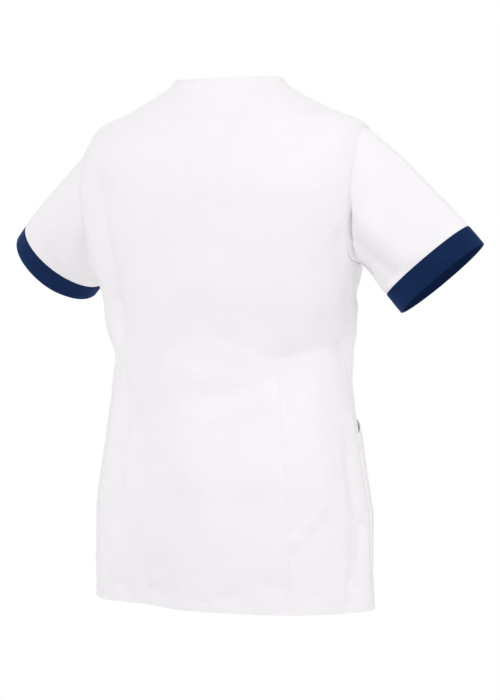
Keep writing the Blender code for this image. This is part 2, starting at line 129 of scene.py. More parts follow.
def bell(value: Array) -> Array:
    """exp(-t^2)."""
    return np.exp(-np.square(value))


def unit(vectors: Array) -> Array:
    """Vectors of length 1."""
    return vectors / np.maximum(np.linalg.norm(vectors, axis=-1, keepdims=True), 1e-12)


def hermite(start: Array, leaving: Array, end: Array, arriving: Array, part: Array) -> Array:
    """Cubic run from start to end with a slope at each end.

    Args:
        start, end: the values at part 0 and 1.
        leaving, arriving: the slopes there, per unit of part.
        part: how far along, from 0 to 1.

    Returns:
        (1 + 2t)(1-t)^2 start + t(1-t)^2 leaving + (3 - 2t)t^2 end - (1-t)t^2 arriving.
    """
    rest = 1.0 - part
    return ((1 + 2 * part) * rest ** 2 * start + part * rest ** 2 * leaving
            + (1 + 2 * rest) * part ** 2 * end - rest * part ** 2 * arriving)


def smooth_through(places: Array, values: Array, at: Array) -> Array:
    """Cubic curve through (place, value) pairs, its slopes taken from the neighbours.

    Args:
        places, values: the pairs, in rising order of place.
        at: where the curve is wanted.

    Returns:
        Its values there.
    """
    slopes = np.gradient(values, places)
    low = np.clip(np.searchsorted(places, at) - 1, 0, len(places) - 2)
    step = places[low + 1] - places[low]
    part = (at - places[low]) / step
    return hermite(values[low], slopes[low] * step, values[low + 1], slopes[low + 1] * step, part)


def running_length(points: Array, axis: int = 0) -> Array:
    """Distance along lines of points.

    Args:
        points: any grid of points, its last axis x, y and z.
        axis: the axis that the lines run along.

    Returns:
        The sum of the steps up to each point, 0 at the first.
    """
    steps = np.linalg.norm(np.diff(points, axis=axis), axis=-1)
    start = np.zeros_like(np.take(steps, [0], axis=axis))
    return np.concatenate([start, np.cumsum(steps, axis=axis)], axis=axis)


def grid_normals(grid: Array, closed: bool = False) -> Array:
    """Unit normals of a grid of points: the cross product of its row and column differences.

    Args:
        grid: points, rows by columns by 3.
        closed: whether the last column meets the first.

    Returns:
        Normals of the same shape.
    """
    if closed:
        onward = np.roll(grid, -1, axis=1) - np.roll(grid, 1, axis=1)
    else:
        onward = np.gradient(grid, axis=1)
    return unit(np.cross(onward, np.gradient(grid, axis=0)))


# ---------------------------------------------------------------- the worn form


@dataclass(frozen=True)
class Crease:
    """A soft ridge along a line, or a trough where its lift is negative."""
    start: tuple[float, float]
    end: tuple[float, float]
    half_width: float
    lift: float
    bow: float = 0.0            # how far the line curves to its left, in metres
    lean: float = 0.0           # how much wider its left side is, and its right side narrower
    pressed: float = 0.0        # radius of its bottom where it comes to a sharp line, 0 if soft

    def at(self, across: Array, up: Array) -> Array:
        """Lift at points, in metres.

        Args:
            across: distance round the form.
            up: height, or distance along a sleeve.

        Returns:
            lift times a bell across the line, or times exp(-distance / width) where it is
            pressed, leaning to one side, and eased in and out at the line's ends.
        """
        start, end = np.array(self.start), np.array(self.end)
        length = np.linalg.norm(end - start)
        along = (end - start) / length
        x, y = across - start[0], up - start[1]
        part = (x * along[0] + y * along[1]) / length
        off = (y * along[0] - x * along[1]) - self.bow * 4 * part * (1 - part)
        ends = ease(part * 4 + 0.5) * ease((1 - part) * 4 + 0.5)
        width = self.half_width * (1 + self.lean * np.tanh(off / self.half_width * 3))
        if self.pressed > 0:
            reach = np.sqrt(off ** 2 + self.pressed ** 2) - self.pressed
            return self.lift * np.exp(-reach / width) * ends
        return self.lift * bell(off / width) * ends


def crease_between(radius: float, start: tuple[float, float], end: tuple[float, float],
                   *shape: float) -> Crease:
    """A crease whose ends are given in degrees.

    Args:
        radius: turns the angle into a distance round the body or the arm.
        start, end: (degrees round, height or metres along) of its ends.
        shape: half width, lift, bow, lean and pressed.

    Returns:
        The crease.
    """
    ends = [(math.radians(angle) * radius, along) for angle, along in (start, end)]
    return Crease(*ends, *shape)


@dataclass(frozen=True)
class Undulation:
    """Soft unevenness of worn cloth: the mean of sine waves of random direction and phase."""
    seed: int
    shortest: float
    longest: float
    lift: float
    waves: int = 26
    line_way: tuple[float, float, float] = (0.8, 0.5, 0.33)     # where a line runs through it

    def at(self, points: Array) -> Array:
        """Unevenness at points, which has no joins.

        Args:
            points: places, their last axis x, y and z.

        Returns:
            lift * sqrt(2 / n) * sum of sin(k . point + phase).
        """
        dice = np.random.default_rng(self.seed)
        ways = unit(dice.normal(size=(self.waves, 3)))
        lengths = dice.uniform(self.shortest, self.longest, self.waves)
        phases = dice.uniform(0, 2 * math.pi, self.waves)
        total = np.zeros(points.shape[:-1])
        for way, length, phase in zip(ways, lengths, phases):
            total += np.sin(points @ way * (2 * math.pi / length) + phase)
        return self.lift * math.sqrt(2 / self.waves) * total

    def along_line(self, distance: Array) -> Array:
        """The unevenness along a line, such as a seam."""
        return self.at(distance[..., None] * np.array(self.line_way))


@dataclass(frozen=True)
class Section:
    """A ring of the form. Its depths are measured from its widest place, the centre."""
    height: float
    half_width: float
    centre: float
    back_depth: float
    front_depth: float
    squareness: float


SECTIONS = tuple(Section(*row) for row in (
    # height half_width centre   back   front  squareness
    (-0.700, 0.1960, -0.006, 0.1560, 0.1500, 0.010),
    (-0.640, 0.1950, -0.004, 0.1550, 0.1480, 0.012),
    (-0.560, 0.1915, -0.002, 0.1500, 0.1440, 0.015),
    (-0.480, 0.1800, 0.000, 0.1380, 0.1340, 0.018),
    (-0.400, 0.1710, 0.000, 0.1250, 0.1240, 0.020),
    (-0.340, 0.1740, 0.003, 0.1240, 0.1310, 0.022),
    (-0.285, 0.1805, 0.015, 0.1180, 0.1500, 0.030),
    (-0.243, 0.1885, 0.023, 0.1130, 0.1620, 0.050),
    (-0.180, 0.2030, 0.023, 0.1130, 0.1540, 0.090),
    (-0.120, 0.2070, 0.016, 0.1140, 0.1330, 0.100),
    (-0.085, 0.2060, 0.009, 0.1080, 0.1120, 0.080),
    (-0.064, 0.2010, 0.006, 0.0980, 0.0970, 0.045),
    (-0.037, 0.1480, 0.007, 0.0840, 0.0820, 0.025),
    (-0.012, 0.0990, 0.009, 0.0670, 0.0700, 0.010),
    (-0.001, 0.0820, 0.010, 0.0590, 0.0640, 0.005),
    (0.0070, 0.0755, 0.010, 0.0560, 0.0600, 0.000),
))

PRINCESS_SEAM = np.array([
    # height  angle
    (-0.700, 46.4), (-0.573, 45.6), (-0.458, 45.0), (-0.358, 43.8), (-0.276, 46.5),
    (-0.240, 48.5), (-0.207, 52.5), (-0.181, 61.0), (-0.166, 76.0)])

BODY_CREASES = tuple(crease_between(BODY_RADIUS, row[:2], row[2:4], *row[4:]) for row in (
    # from angle, height, to angle, height, half width, lift, bow, lean, pressed
    # the right of the waist, where the cloth blouses over a sharp crease
    (44, -0.29, 103, -0.282, 0.03, 0.004, 0, 0.2),
    (41, -0.367, 106, -0.346, 0.036, -0.018, 0.004, -0.35, 0.0015),
    # the drag line that runs down to it from the middle of the back
    (-4, -0.262, 44, -0.292, 0.028, 0.003, 0, 0.2),
    (12, -0.338, 47, -0.374, 0.034, -0.006, 0.003, -0.15, 0.004),
    # small folds at the waist of the back
    (-8, -0.372, 14, -0.398, 0.014, 0.0024),
    (23, -0.37, 4, -0.434, 0.012, -0.0015),
    (43, -0.408, 4, -0.446, 0.016, 0.0026, 0.003),
    (44, -0.388, 16, -0.42, 0.011, -0.002),
    # the seat, and the cloth that falls in below it
    (-6, -0.515, 76, -0.512, 0.042, 0.0062, 0, 0.2),
    (-34, -0.705, 90, -0.702, 0.072, -0.0125),
    # upright folds of the skirt, left of the middle
    (-39, -0.385, -36, -0.59, 0.011, -0.0058),
    (-48, -0.37, -46, -0.6, 0.011, 0.0024),
    (-27, -0.43, -20, -0.72, 0.036, -0.0115),
    (-8, -0.375, 17, -0.6, 0.028, 0.0048, 0, 0.2),
    (-9, -0.57, -6, -0.715, 0.008, -0.0012),
    # right of the princess seam
    (62, -0.395, 60, -0.57, 0.022, 0.0044),
    (57, -0.396, 47, -0.452, 0.008, -0.0022),
    (65, -0.548, 45, -0.606, 0.008, 0.003, 0, 0.2),
    (64, -0.568, 47, -0.622, 0.009, -0.0022),
    (92, -0.58, 91, -0.64, 0.009, -0.0058),
    (82, -0.655, 92, -0.668, 0.009, -0.0036),
    (86, -0.47, 84, -0.71, 0.016, -0.005),
    # puckers over the hem
    (-20, -0.668, -9, -0.676, 0.009, -0.0026),
    (-8, -0.677, -1, -0.668, 0.007, -0.002),
    (3, -0.672, 12, -0.679, 0.007, -0.0014),
    (34, -0.652, 45, -0.662, 0.009, -0.0024),
    (14, -0.674, 26, -0.67, 0.007, -0.0018),
    (52, -0.677, 64, -0.668, 0.008, -0.0018),
    (-40, -0.672, -31, -0.664, 0.008, -0.002),
    (118, -0.668, 128, -0.675, 0.008, -0.0018),
    (-132, -0.672, -121, -0.664, 0.008, -0.0018),
    # behind the armholes, and under the arms
    (-40, -0.125, -43, -0.33, 0.021, -0.0135),
    (-44, -0.285, -42, -0.36, 0.012, -0.003),
    (62, -0.07, 60, -0.15, 0.026, 0.0018),
    (69, -0.182, 60, -0.2, 0.005, -0.001),
    (92, -0.192, 97, -0.246, 0.01, 0.0052),
    (111, -0.226, 111, -0.292, 0.026, -0.0085),
    (-104, -0.242, -106, -0.3, 0.022, -0.005),
    (70, -0.205, 92, -0.29, 0.018, -0.0034),
    # the left of the waist
    (-98, -0.35, -52, -0.368, 0.02, -0.0045),
    (-100, -0.318, -54, -0.326, 0.022, 0.003),
    # the fronts: drag lines to the bust, the waist, and the skirt
    (126, -0.3, 156, -0.256, 0.02, -0.006),
    (128, -0.278, 152, -0.232, 0.018, 0.0026),
    (-110, -0.322, -152, -0.262, 0.022, -0.0056),
    (-120, -0.292, -150, -0.24, 0.018, 0.0024),
    (116, -0.388, 168, -0.406, 0.02, -0.0058),
    (124, -0.356, 162, -0.366, 0.018, 0.0028),
    (-114, -0.402, -166, -0.388, 0.02, -0.0056),
    (112, -0.356, 140, -0.372, 0.012, -0.0026),
    (-106, -0.362, -138, -0.374, 0.013, -0.0034),
    (150, -0.47, 147, -0.705, 0.02, -0.005),
    (164, -0.5, 162, -0.7, 0.014, 0.0022),
    (-146, -0.48, -150, -0.705, 0.022, -0.0052),
    (-128, -0.56, -130, -0.705, 0.016, 0.0026),
    (160, -0.14, 128, -0.19, 0.012, -0.0026),
    (-158, -0.15, -126, -0.185, 0.012, -0.0026),
))


@dataclass(frozen=True)
class WornForm:
    """The smooth shape that the body panels share, with its creases."""
    sections: tuple[Section, ...] = SECTIONS
    creases: tuple[Crease, ...] = BODY_CREASES
    undulations: tuple[Undulation, ...] = (
        Undulation(seed=4, shortest=0.060, longest=0.150, lift=0.0005),
        Undulation(seed=9, shortest=0.022, longest=0.050, lift=0.00014))
    calm: float = 0.7                   # of the unevenness, taken off the shoulders
    calm_run: float = 0.08
    hem_tilt: float = 0.008             # the hem rises at the back
    hem_lean: float = 0.004             # and on the left
    hem_tilt_reach: float = 0.25
    back_neck_dip: float = 0.003
    neck_dip_run: float = 0.13
    underarm_height: float = -0.241
    shoulder_tip_height: float = -0.064
    side_seam: float = 97.0             # angles of the seams
    shoulder_seam: float = 90.0
    armhole_back_reach: float = 20.0    # how far the armhole goes from them, in degrees
    armhole_front_reach: float = 31.0
    armhole_fullness: float = 0.9
    armhole_rows: int = 61
    rows_near_ends: tuple[float, ...] = (4, 8, 12, 17)      # degrees of turn from its ends
    angle_step: float = 0.4             # small steps for the normals
    climb_step: float = 0.001

    def column(self, name: str) -> Array:
        """One column of the section table."""
        return np.array([getattr(section, name) for section in self.sections])

    @property
    def climbs(self) -> Array:
        """Climb of each section: the running length of its (height, half width) steps."""
        steps = np.hypot(np.diff(self.column("height")), np.diff(self.column("half_width")))
        return np.concatenate([[0.0], np.cumsum(steps)])

    def across(self, name: str, climb: Array) -> Array:
        """A dimension of the form at any climb."""
        return smooth_through(self.climbs, self.column(name), climb)

    def climb_at(self, height: float) -> float:
        """The climb of a height."""
        fine = np.linspace(0.0, self.climbs[-1], 2001)
        return float(np.interp(height, self.across("height", fine), fine))

    @property
    def underarm(self) -> float:
        """Climb of the bottom of the armhole."""
        return self.climb_at(self.underarm_height)

    @property
    def shoulder_tip(self) -> float:
        """Climb of the top of the armhole."""
        return self.climb_at(self.shoulder_tip_height)

    @property
    def armhole_span(self) -> tuple[float, float]:
        """Climb of the armhole's middle, and half of its height."""
        return (self.underarm + self.shoulder_tip) / 2, (self.shoulder_tip - self.underarm) / 2

    @property
    def neck_point(self) -> float:
        """Climb of the neck edge."""
        return float(self.climbs[-1])

    def unevenness(self, points: Array) -> Array:
        """The soft unevenness of the cloth, in metres."""
        return sum(wave.at(points) for wave in self.undulations)

    def point(self, angle: Array | float, climb: Array) -> Array:
        """Points of the outside of the cloth.

        Args:
            angle: degrees round the form.
            climb: metres up its side.

        Returns:
            (-w g sin a, c + d g cos a, h), where g = 1 + squareness sin^2 2a, moved out along the
            ring's normal by the creases and undulations.
        """
        angle, climb = np.broadcast_arrays(np.asarray(angle, float), np.asarray(climb, float))
        sine, cosine = np.sin(np.radians(angle)), np.cos(np.radians(angle))
        half_width = self.across("half_width", climb)
        depth = np.where(cosine > 0, self.across("back_depth", climb),
                         self.across("front_depth", climb))
        bulge = 1 + self.across("squareness", climb) * (2 * sine * cosine) ** 2
        hem_rise = self.hem_tilt * cosine + self.hem_lean * np.clip(-sine, 0, 1)
        past_tip = climb - self.shoulder_tip
        neck_dip = np.clip(cosine, 0, 1) ** 2 * ease(past_tip / self.neck_dip_run)
        height = (self.across("height", climb) - self.back_neck_dip * neck_dip
                  + hem_rise * ease(1 - climb / self.hem_tilt_reach))
        back = self.across("centre", climb) + depth * cosine * bulge
        outward = unit(np.stack([-sine / half_width, cosine / depth, 0 * sine], axis=-1))
        wrapped = np.radians((angle + 180.0) % 360.0 - 180.0) * BODY_RADIUS
        lift = sum(crease.at(wrapped, height) for crease in self.creases)
        points = np.stack([-half_width * sine * bulge, back, height], axis=-1)
        lift = lift + (1 - self.calm * ease(past_tip / self.calm_run)) * self.unevenness(points)
        return points + outward * lift[..., None]

    def normal(self, angle: Array, climb: Array) -> Array:
        """Unit normals out of the jacket, from small steps round and up the form.

        Args:
            angle: degrees round the form.
            climb: metres up its side.

        Returns:
            The cross product of the two steps, at length 1.
        """
        onward = (self.point(angle + self.angle_step, climb)
                  - self.point(angle - self.angle_step, climb))
        upward = (self.point(angle, np.minimum(climb + self.climb_step, self.neck_point))
                  - self.point(angle, np.maximum(climb - self.climb_step, 0.0)))
        return unit(np.cross(onward, upward))

    def armhole(self, turn: Array) -> tuple[Array, Array]:
        """The armhole, an oval on the form.

        Args:
            turn: 0 under the arm, pi / 2 behind it, pi over it.

        Returns:
            Its angle, centre + reach |sin t|^fullness, and its climb, middle - half cos t.
        """
        middle, half = self.armhole_span
        centre = (self.side_seam
                  + (self.shoulder_seam - self.side_seam) * (1 - np.cos(turn)) / 2)
        reach = np.where(np.sin(turn) > 0, -self.armhole_back_reach, self.armhole_front_reach)
        return (centre + reach * np.abs(np.sin(turn)) ** self.armhole_fullness,
                middle - half * np.cos(turn))

    def armhole_turn(self, climb: Array) -> Array:
        """Turn of the back of the armhole at a climb."""
        middle, half = self.armhole_span
        return np.arccos(np.clip((middle - climb) / half, -1.0, 1.0))

    def outer_edge(self, climb: Array, in_front: bool) -> Array:
        """Edge of a panel at the side seam, then the armhole, then the shoulder seam.

        Args:
            climb: metres up the form's side.
            in_front: whether the panel is a front.

        Returns:
            The edge's angle.
        """
        turn = self.armhole_turn(climb)
        arm = self.armhole(2 * math.pi - turn if in_front else turn)[0]
        return np.where(climb < self.underarm, self.side_seam,
                        np.where(climb < self.shoulder_tip, arm, self.shoulder_seam))

    def princess_edge(self, climb: Array) -> Array:
        """Angle of the back princess seam."""
        climbs = np.array([self.climb_at(height) for height in PRINCESS_SEAM[:, 0]])
        return smooth_through(climbs, PRINCESS_SEAM[:, 1], climb)

    @property
    def princess_top(self) -> float:
        """Where the princess seam meets the armhole.

        Returns:
            The climb of the last of 400 places, near the seam's end, that is behind the armhole.
        """
        near = np.linspace(self.climb_at(PRINCESS_SEAM[-2, 0]),
                           self.climb_at(PRINCESS_SEAM[-1, 0]), 400)
        inside = self.princess_edge(near) < self.outer_edge(near, in_front=False)
        return float(near[inside][-1])

    def armhole_climbs(self) -> Array:
        """Rows between underarm and shoulder tip, close together where the armhole runs level.

        Returns:
            Climbs middle + half s, where s is the mean of an even run from -1 to 1 and its
            sine, with a few more rows near the ends.
        """
        middle, half = self.armhole_span
        even = np.linspace(-1.0, 1.0, self.armhole_rows)
        near_ends = np.cos(np.radians(self.rows_near_ends))
        spread = (even + np.sin(even * math.pi / 2)) / 2
        return middle + half * np.unique(np.concatenate([spread, near_ends, -near_ends]))


FORM = WornForm()


# ---------------------------------------------------------------- meshes


def grid_index(rows: int, columns: int, closed: bool = False) -> Array:
    """Indices of a grid's points, with the first column again after the last if it is closed."""
    index = np.arange(rows * columns).reshape(rows, columns)
    return np.concatenate([index, index[:, :1]], axis=1) if closed else index


def quads(index: Array, turned: bool = False) -> Array:
    """Quads between neighbouring rows and columns of a grid.

    Args:
        index: indices of the grid's points.
        turned: whether the quads face the other way.

    Returns:
        Indices of the quads, four to a row.
    """
    faces = np.stack([index[:-1, :-1], index[:-1, 1:], index[1:, 1:], index[1:, :-1]],
                     axis=-1).reshape(-1, 4)
    return faces[:, [0, 3, 2, 1]] if turned else faces


def shell_faces(rows: int, columns: int, closed: bool) -> Array:
    """Quads of a shell: its outer grid, its inner grid, and the walls along its open edges.

    Args:
        rows, columns: size of each grid. Points run row by row, outer grid first.
        closed: whether the last column meets the first.

    Returns:
        Indices of the quads, four to a row, facing out.
    """
    count = rows * columns
    index = grid_index(rows, columns, closed)
    edges = [index[0][::-1], index[-1]]
    if not closed:
        edges += [index[:, 0], index[::-1, -1]]
    outer = quads(index)
    faces = [outer, outer[:, ::-1] + count]
    for edge in edges:
        start, end = edge[:-1], edge[1:]
        faces.append(np.stack([start, end, end + count, start + count], axis=-1))
    return np.concatenate(faces)


def add_object(name: str, data: bpy.types.ID) -> bpy.types.Object:
    """A new object in the scene.

    Args:
        name: name of the object.
        data: its mesh, lamp or camera.

    Returns:
        The object, at the origin.
    """
    made = bpy.data.objects.new(name, data)
    bpy.context.scene.collection.objects.link(made)
    return made


def make_mesh(name: str, points: Array, faces: Array, finish: "Finish") -> bpy.types.Mesh:
    """A mesh in its finish.

    Args:
        name: name of the mesh.
        points: vertices, in any grid, their last axis x, y and z.
        faces: indices, m by 3 or 4.
        finish: what it is made of.

    Returns:
        The mesh.
    """
    mesh = bpy.data.meshes.new(name)
    mesh.from_pydata(points.reshape(-1, 3).tolist(), [], faces.tolist())
    mesh.materials.append(finish.material())
    return mesh


def make_piece(name: str, points: Array, faces: Array, finish: "Finish",
               uv: Array | None = None) -> bpy.types.Object:
    """A finished piece: its mesh, smooth shading, finish, and its place in the jacket.

    Args:
        name: name of the piece.
        points: vertices, in any grid, their last axis x, y and z.
        faces: indices, m by 3 or 4.
        finish: what it is made of.
        uv: a surface coordinate in metres for each vertex.

    Returns:
        The object, riding on the jacket.
    """
    mesh = make_mesh(name, points, faces, finish)
    if uv is not None:
        layer = mesh.uv_layers.new(name="cloth_grain")
        loops = np.zeros(len(mesh.loops), np.int32)
        mesh.loops.foreach_get("vertex_index", loops)
        layer.data.foreach_set("uv", uv[loops].astype(np.float32).ravel())
    mesh.shade_smooth()
    piece = add_object(name, mesh)
    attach(piece, BODY)
    LOG.info("%s: %d faces", name, len(faces))
    return piece


def grain_uv(grid: Array) -> Array:
    """Surface coordinates of a grid: the running lengths along its rows and its middle column.

    Args:
        grid: points, rows by columns by 3.

    Returns:
        Metres across from the middle column and up from the first row, rows by columns by 2.
    """
    middle = grid.shape[1] // 2
    run = running_length(grid, axis=1)
    up = running_length(grid[:, middle])
    return np.stack([run - run[:, middle][:, None],
                     np.broadcast_to(up[:, None], run.shape)], axis=-1)


# ---------------------------------------------------------------- finishes


def linear(hex_colour: str) -> tuple[float, float, float, float]:
    """An sRGB hex colour as linear RGBA.

    Args:
        hex_colour: such as "#FFFFFF".

    Returns:
        c / 12.92 for parts up to 0.04045, and ((c + 0.055) / 1.055)^2.4 above, with alpha 1.
    """
    parts = np.array([int(hex_colour[k:k + 2], 16) for k in (1, 3, 5)]) / 255
    low, high = parts / 12.92, ((parts + 0.055) / 1.055) ** 2.4
    return (*np.where(parts <= 0.04045, low, high).tolist(), 1.0)


def band_scale(pitch: float) -> float:
    """Scale of a wave pattern whose bands come once in every pitch along an axis."""
    return 2 * math.pi / (10 * pitch)


def add_node(tree: bpy.types.NodeTree, kind: str, settings: dict | None = None,
             links: dict | None = None) -> bpy.types.Node:
    """Add a node with its settings and links.

    Args:
        tree: the material's or world's node tree.
        kind: the node's type.
        settings: properties by name, or input values by name or number.
        links: output sockets to join to the inputs of those names or numbers.

    Returns:
        The node.
    """
    node = tree.nodes.new(kind)
    for name, value in (settings or {}).items():
        if isinstance(name, str) and name in node.bl_rna.properties:
            setattr(node, name, value)
        else:
            node.inputs[name].default_value = value
    for name, source in (links or {}).items():
        tree.links.new(source, node.inputs[name])
    return node


MIX_FIRST, MIX_SECOND = 6, 7        # a colour mix's two inputs, which share their names with others
MIX_COLOUR = 2                      # and its output


@dataclass(frozen=True)
class Finish:
    """A finish, made into a material once."""
    name: str
    slot: str = ""                  # the record's material slot

    def material(self) -> bpy.types.Material:
        """The finish as a material.

        Returns:
            The material, made at the first call.
        """
        made = bpy.data.materials.get(self.name)
        if made is None:
            made = bpy.data.materials.new(self.name)
            made.use_nodes = True
            made.node_tree.nodes.clear()
            shader = self.shade(made.node_tree)
            add_node(made.node_tree, "ShaderNodeOutputMaterial", links={"Surface": shader})
        return made

    def shade(self, tree: bpy.types.NodeTree) -> bpy.types.NodeSocket:
        """Add the finish's nodes, and return its shader."""
        raise NotImplementedError


@dataclass(frozen=True)
class TwillCloth(Finish):
    """Polyester and cotton twill, woven, dyed and pressed.

    Fine diagonal ribs and slightly uneven yarn give a soft, matt surface with a faint bloom where
    it turns away. Real ribs are 0.5 mm apart. They are drawn 1.3 mm apart, so that they show.
    """
    colour: str = "#F8F5F8"
    shade_colour: str = "#F6F3F6"
    roughness: float = 0.88
    sheen: float = 0.10
    bloom: str = "#FFFFFF"          # colour of the sheen
    gloss: float = 0.20
    rib_pitch: float = 1.3 * MM
    rib_depth: float = 0.10 * MM
    slub_size: float = 9.0 * MM     # thick places of the yarn, drawn nine times as long as wide
    mottle_size: float = 45.0 * MM

    def shade(self, tree: bpy.types.NodeTree) -> bpy.types.NodeSocket:
        """Twill ribs as bump on the cloth's own grain, and uneven yarn in the colour.

        Args:
            tree: the material's node tree.

        Returns:
            The shader's output.
        """
        grain = add_node(tree, "ShaderNodeTexCoord").outputs["UV"]
        ribs = add_node(tree, "ShaderNodeTexWave",
                        {"wave_type": "BANDS", "bands_direction": "DIAGONAL",
                         "Scale": band_scale(self.rib_pitch * math.sqrt(2)),
                         "Distortion": 0.6, "Detail": 1.0, "Detail Scale": 2.0},
                        {"Vector": grain})
        stretched = add_node(tree, "ShaderNodeMapping", {"Scale": (1.0, 9.0, 1.0)},
                             {"Vector": grain})
        yarn = add_node(tree, "ShaderNodeTexNoise", {"Scale": 1 / self.slub_size, "Detail": 3.0},
                        {"Vector": stretched.outputs["Vector"]})
        mottle = add_node(tree, "ShaderNodeTexNoise",
                          {"Scale": 1 / self.mottle_size, "Detail": 2.0}, {"Vector": grain})
        both = add_node(tree, "ShaderNodeMath", {"operation": "MULTIPLY"},
                        {0: yarn.outputs["Fac"], 1: mottle.outputs["Fac"]})
        tone = add_node(tree, "ShaderNodeMapRange", {"From Min": 0.12, "From Max": 0.42},
                        {"Value": both.outputs["Value"]})
        colour = add_node(tree, "ShaderNodeMix",
                          {"data_type": "RGBA", MIX_FIRST: linear(self.shade_colour),
                           MIX_SECOND: linear(self.colour)},
                          {"Factor": tone.outputs["Result"]})
        bump = add_node(tree, "ShaderNodeBump", {"Strength": 0.35, "Distance": self.rib_depth},
                        {"Height": ribs.outputs["Fac"]})
        shader = add_node(tree, "ShaderNodeBsdfPrincipled",
                          {"Roughness": self.roughness, "IOR": 1.46,
                           "Specular IOR Level": self.gloss, "Sheen Weight": self.sheen,
                           "Sheen Roughness": 0.5, "Sheen Tint": linear(self.bloom)},
                          {"Base Color": colour.outputs[MIX_COLOUR],
                           "Normal": bump.outputs["Normal"]})
        return shader.outputs["BSDF"]


@dataclass(frozen=True)
class SewingThread(Finish):
    """Spun polyester thread: twisted plies, which show as fine slanting lines of slight lustre."""
    colour: str = "#F6F5F6"
    roughness: float = 0.55
    ply_pitch: float = 0.6 * MM
    ply_depth: float = 0.05 * MM

    def shade(self, tree: bpy.types.NodeTree) -> bpy.types.NodeSocket:
        """The twist as diagonal bands of bump.

        Args:
            tree: the material's node tree.

        Returns:
            The shader's output.
        """
        place = add_node(tree, "ShaderNodeTexCoord").outputs["Object"]
        plies = add_node(tree, "ShaderNodeTexWave",
                         {"bands_direction": "DIAGONAL", "Scale": band_scale(self.ply_pitch)},
                         {"Vector": place})
        bump = add_node(tree, "ShaderNodeBump", {"Strength": 0.4, "Distance": self.ply_depth},
                        {"Height": plies.outputs["Fac"]})
        shader = add_node(tree, "ShaderNodeBsdfPrincipled",
                          {"Base Color": linear(self.colour), "Roughness": self.roughness,
                           "IOR": 1.5, "Sheen Weight": 0.2},
                          {"Normal": bump.outputs["Normal"]})
        return shader.outputs["BSDF"]


@dataclass(frozen=True)
class ButtonPlastic(Finish):
    """Cast polyester resin, turned and tumbled: a polished white with a faint pearly cloud."""
    colour: str = "#F1F0EE"
    cloud: str = "#E4E3E1"
    cloud_size: float = 4.0 * MM

    def shade(self, tree: bpy.types.NodeTree) -> bpy.types.NodeSocket:
        """Cloudy colour under a smooth gloss.

        Args:
            tree: the material's node tree.

        Returns:
            The shader's output.
        """
        place = add_node(tree, "ShaderNodeTexCoord").outputs["Object"]
        clouds = add_node(tree, "ShaderNodeTexNoise",
                          {"Scale": 1 / self.cloud_size, "Detail": 2.0}, {"Vector": place})
        colour = add_node(tree, "ShaderNodeMix",
                          {"data_type": "RGBA", MIX_FIRST: linear(self.cloud),
                           MIX_SECOND: linear(self.colour)},
                          {"Factor": clouds.outputs["Fac"]})
        shader = add_node(tree, "ShaderNodeBsdfPrincipled",
                          {"Roughness": 0.22, "IOR": 1.54, "Coat Weight": 0.2},
                          {"Base Color": colour.outputs[MIX_COLOUR]})
        return shader.outputs["BSDF"]


@dataclass(frozen=True)
class StudioPaper(Finish):
    """Matt white background paper, lit until it shows as pure white."""
    colour: str = "#FCFCFC"
    fibre_size: float = 25.0 * MM   # real fibres are finer, and don't show either

    def shade(self, tree: bpy.types.NodeTree) -> bpy.types.NodeSocket:
        """White where it is seen, and matt paper with a faint fibre where it throws light.

        Args:
            tree: the material's node tree.

        Returns:
            The shader's output.
        """
        place = add_node(tree, "ShaderNodeTexCoord").outputs["Object"]
        fibre = add_node(tree, "ShaderNodeTexNoise", {"Scale": 1 / self.fibre_size},
                         {"Vector": place})
        rough = add_node(tree, "ShaderNodeMapRange", {"To Min": 0.9, "To Max": 1.0},
                         {"Value": fibre.outputs["Fac"]})
        shader = add_node(tree, "ShaderNodeBsdfPrincipled",
                          {"Base Color": linear(self.colour), "Specular IOR Level": 0.0},
                          {"Roughness": rough.outputs["Result"]})
        lit = add_node(tree, "ShaderNodeEmission", {"Color": (1, 1, 1, 1), "Strength": 1.0})
        rays = add_node(tree, "ShaderNodeLightPath")
        mix = add_node(tree, "ShaderNodeMixShader",
                       links={"Fac": rays.outputs["Is Camera Ray"],
                              1: shader.outputs["BSDF"], 2: lit.outputs["Emission"]})
        return mix.outputs["Shader"]


WHITE_TWILL = TwillCloth("white_twill_pressed", "white_twill")
NAVY_TWILL = TwillCloth("navy_twill_pressed", "navy_twill", colour="#142A50",
                        shade_colour="#0F2246", roughness=0.80, sheen=0.26, bloom="#7A9CF0",
                        gloss=0.04)
WHITE_THREAD = SewingThread("white_polyester_thread", "white_twill")
BUTTON_RESIN = ButtonPlastic("white_button_resin", "white_button_plastic")
PAPER = StudioPaper("studio_paper")


# ---------------------------------------------------------------- cloth pieces


@dataclass(frozen=True)
class Border:
    """One edge of a cloth piece: how it is finished, and how far each point is from it."""
    kind: Edge
    distance: Array
    along: Array                # distance along the edge, for its puckers
    hem: float = 0.0            # where its row of stitches runs, 0 for none
    dip: Array | float = SEAM_DIP


PUCKER = Undulation(seed=21, shortest=0.012, longest=0.040, lift=0.0003)


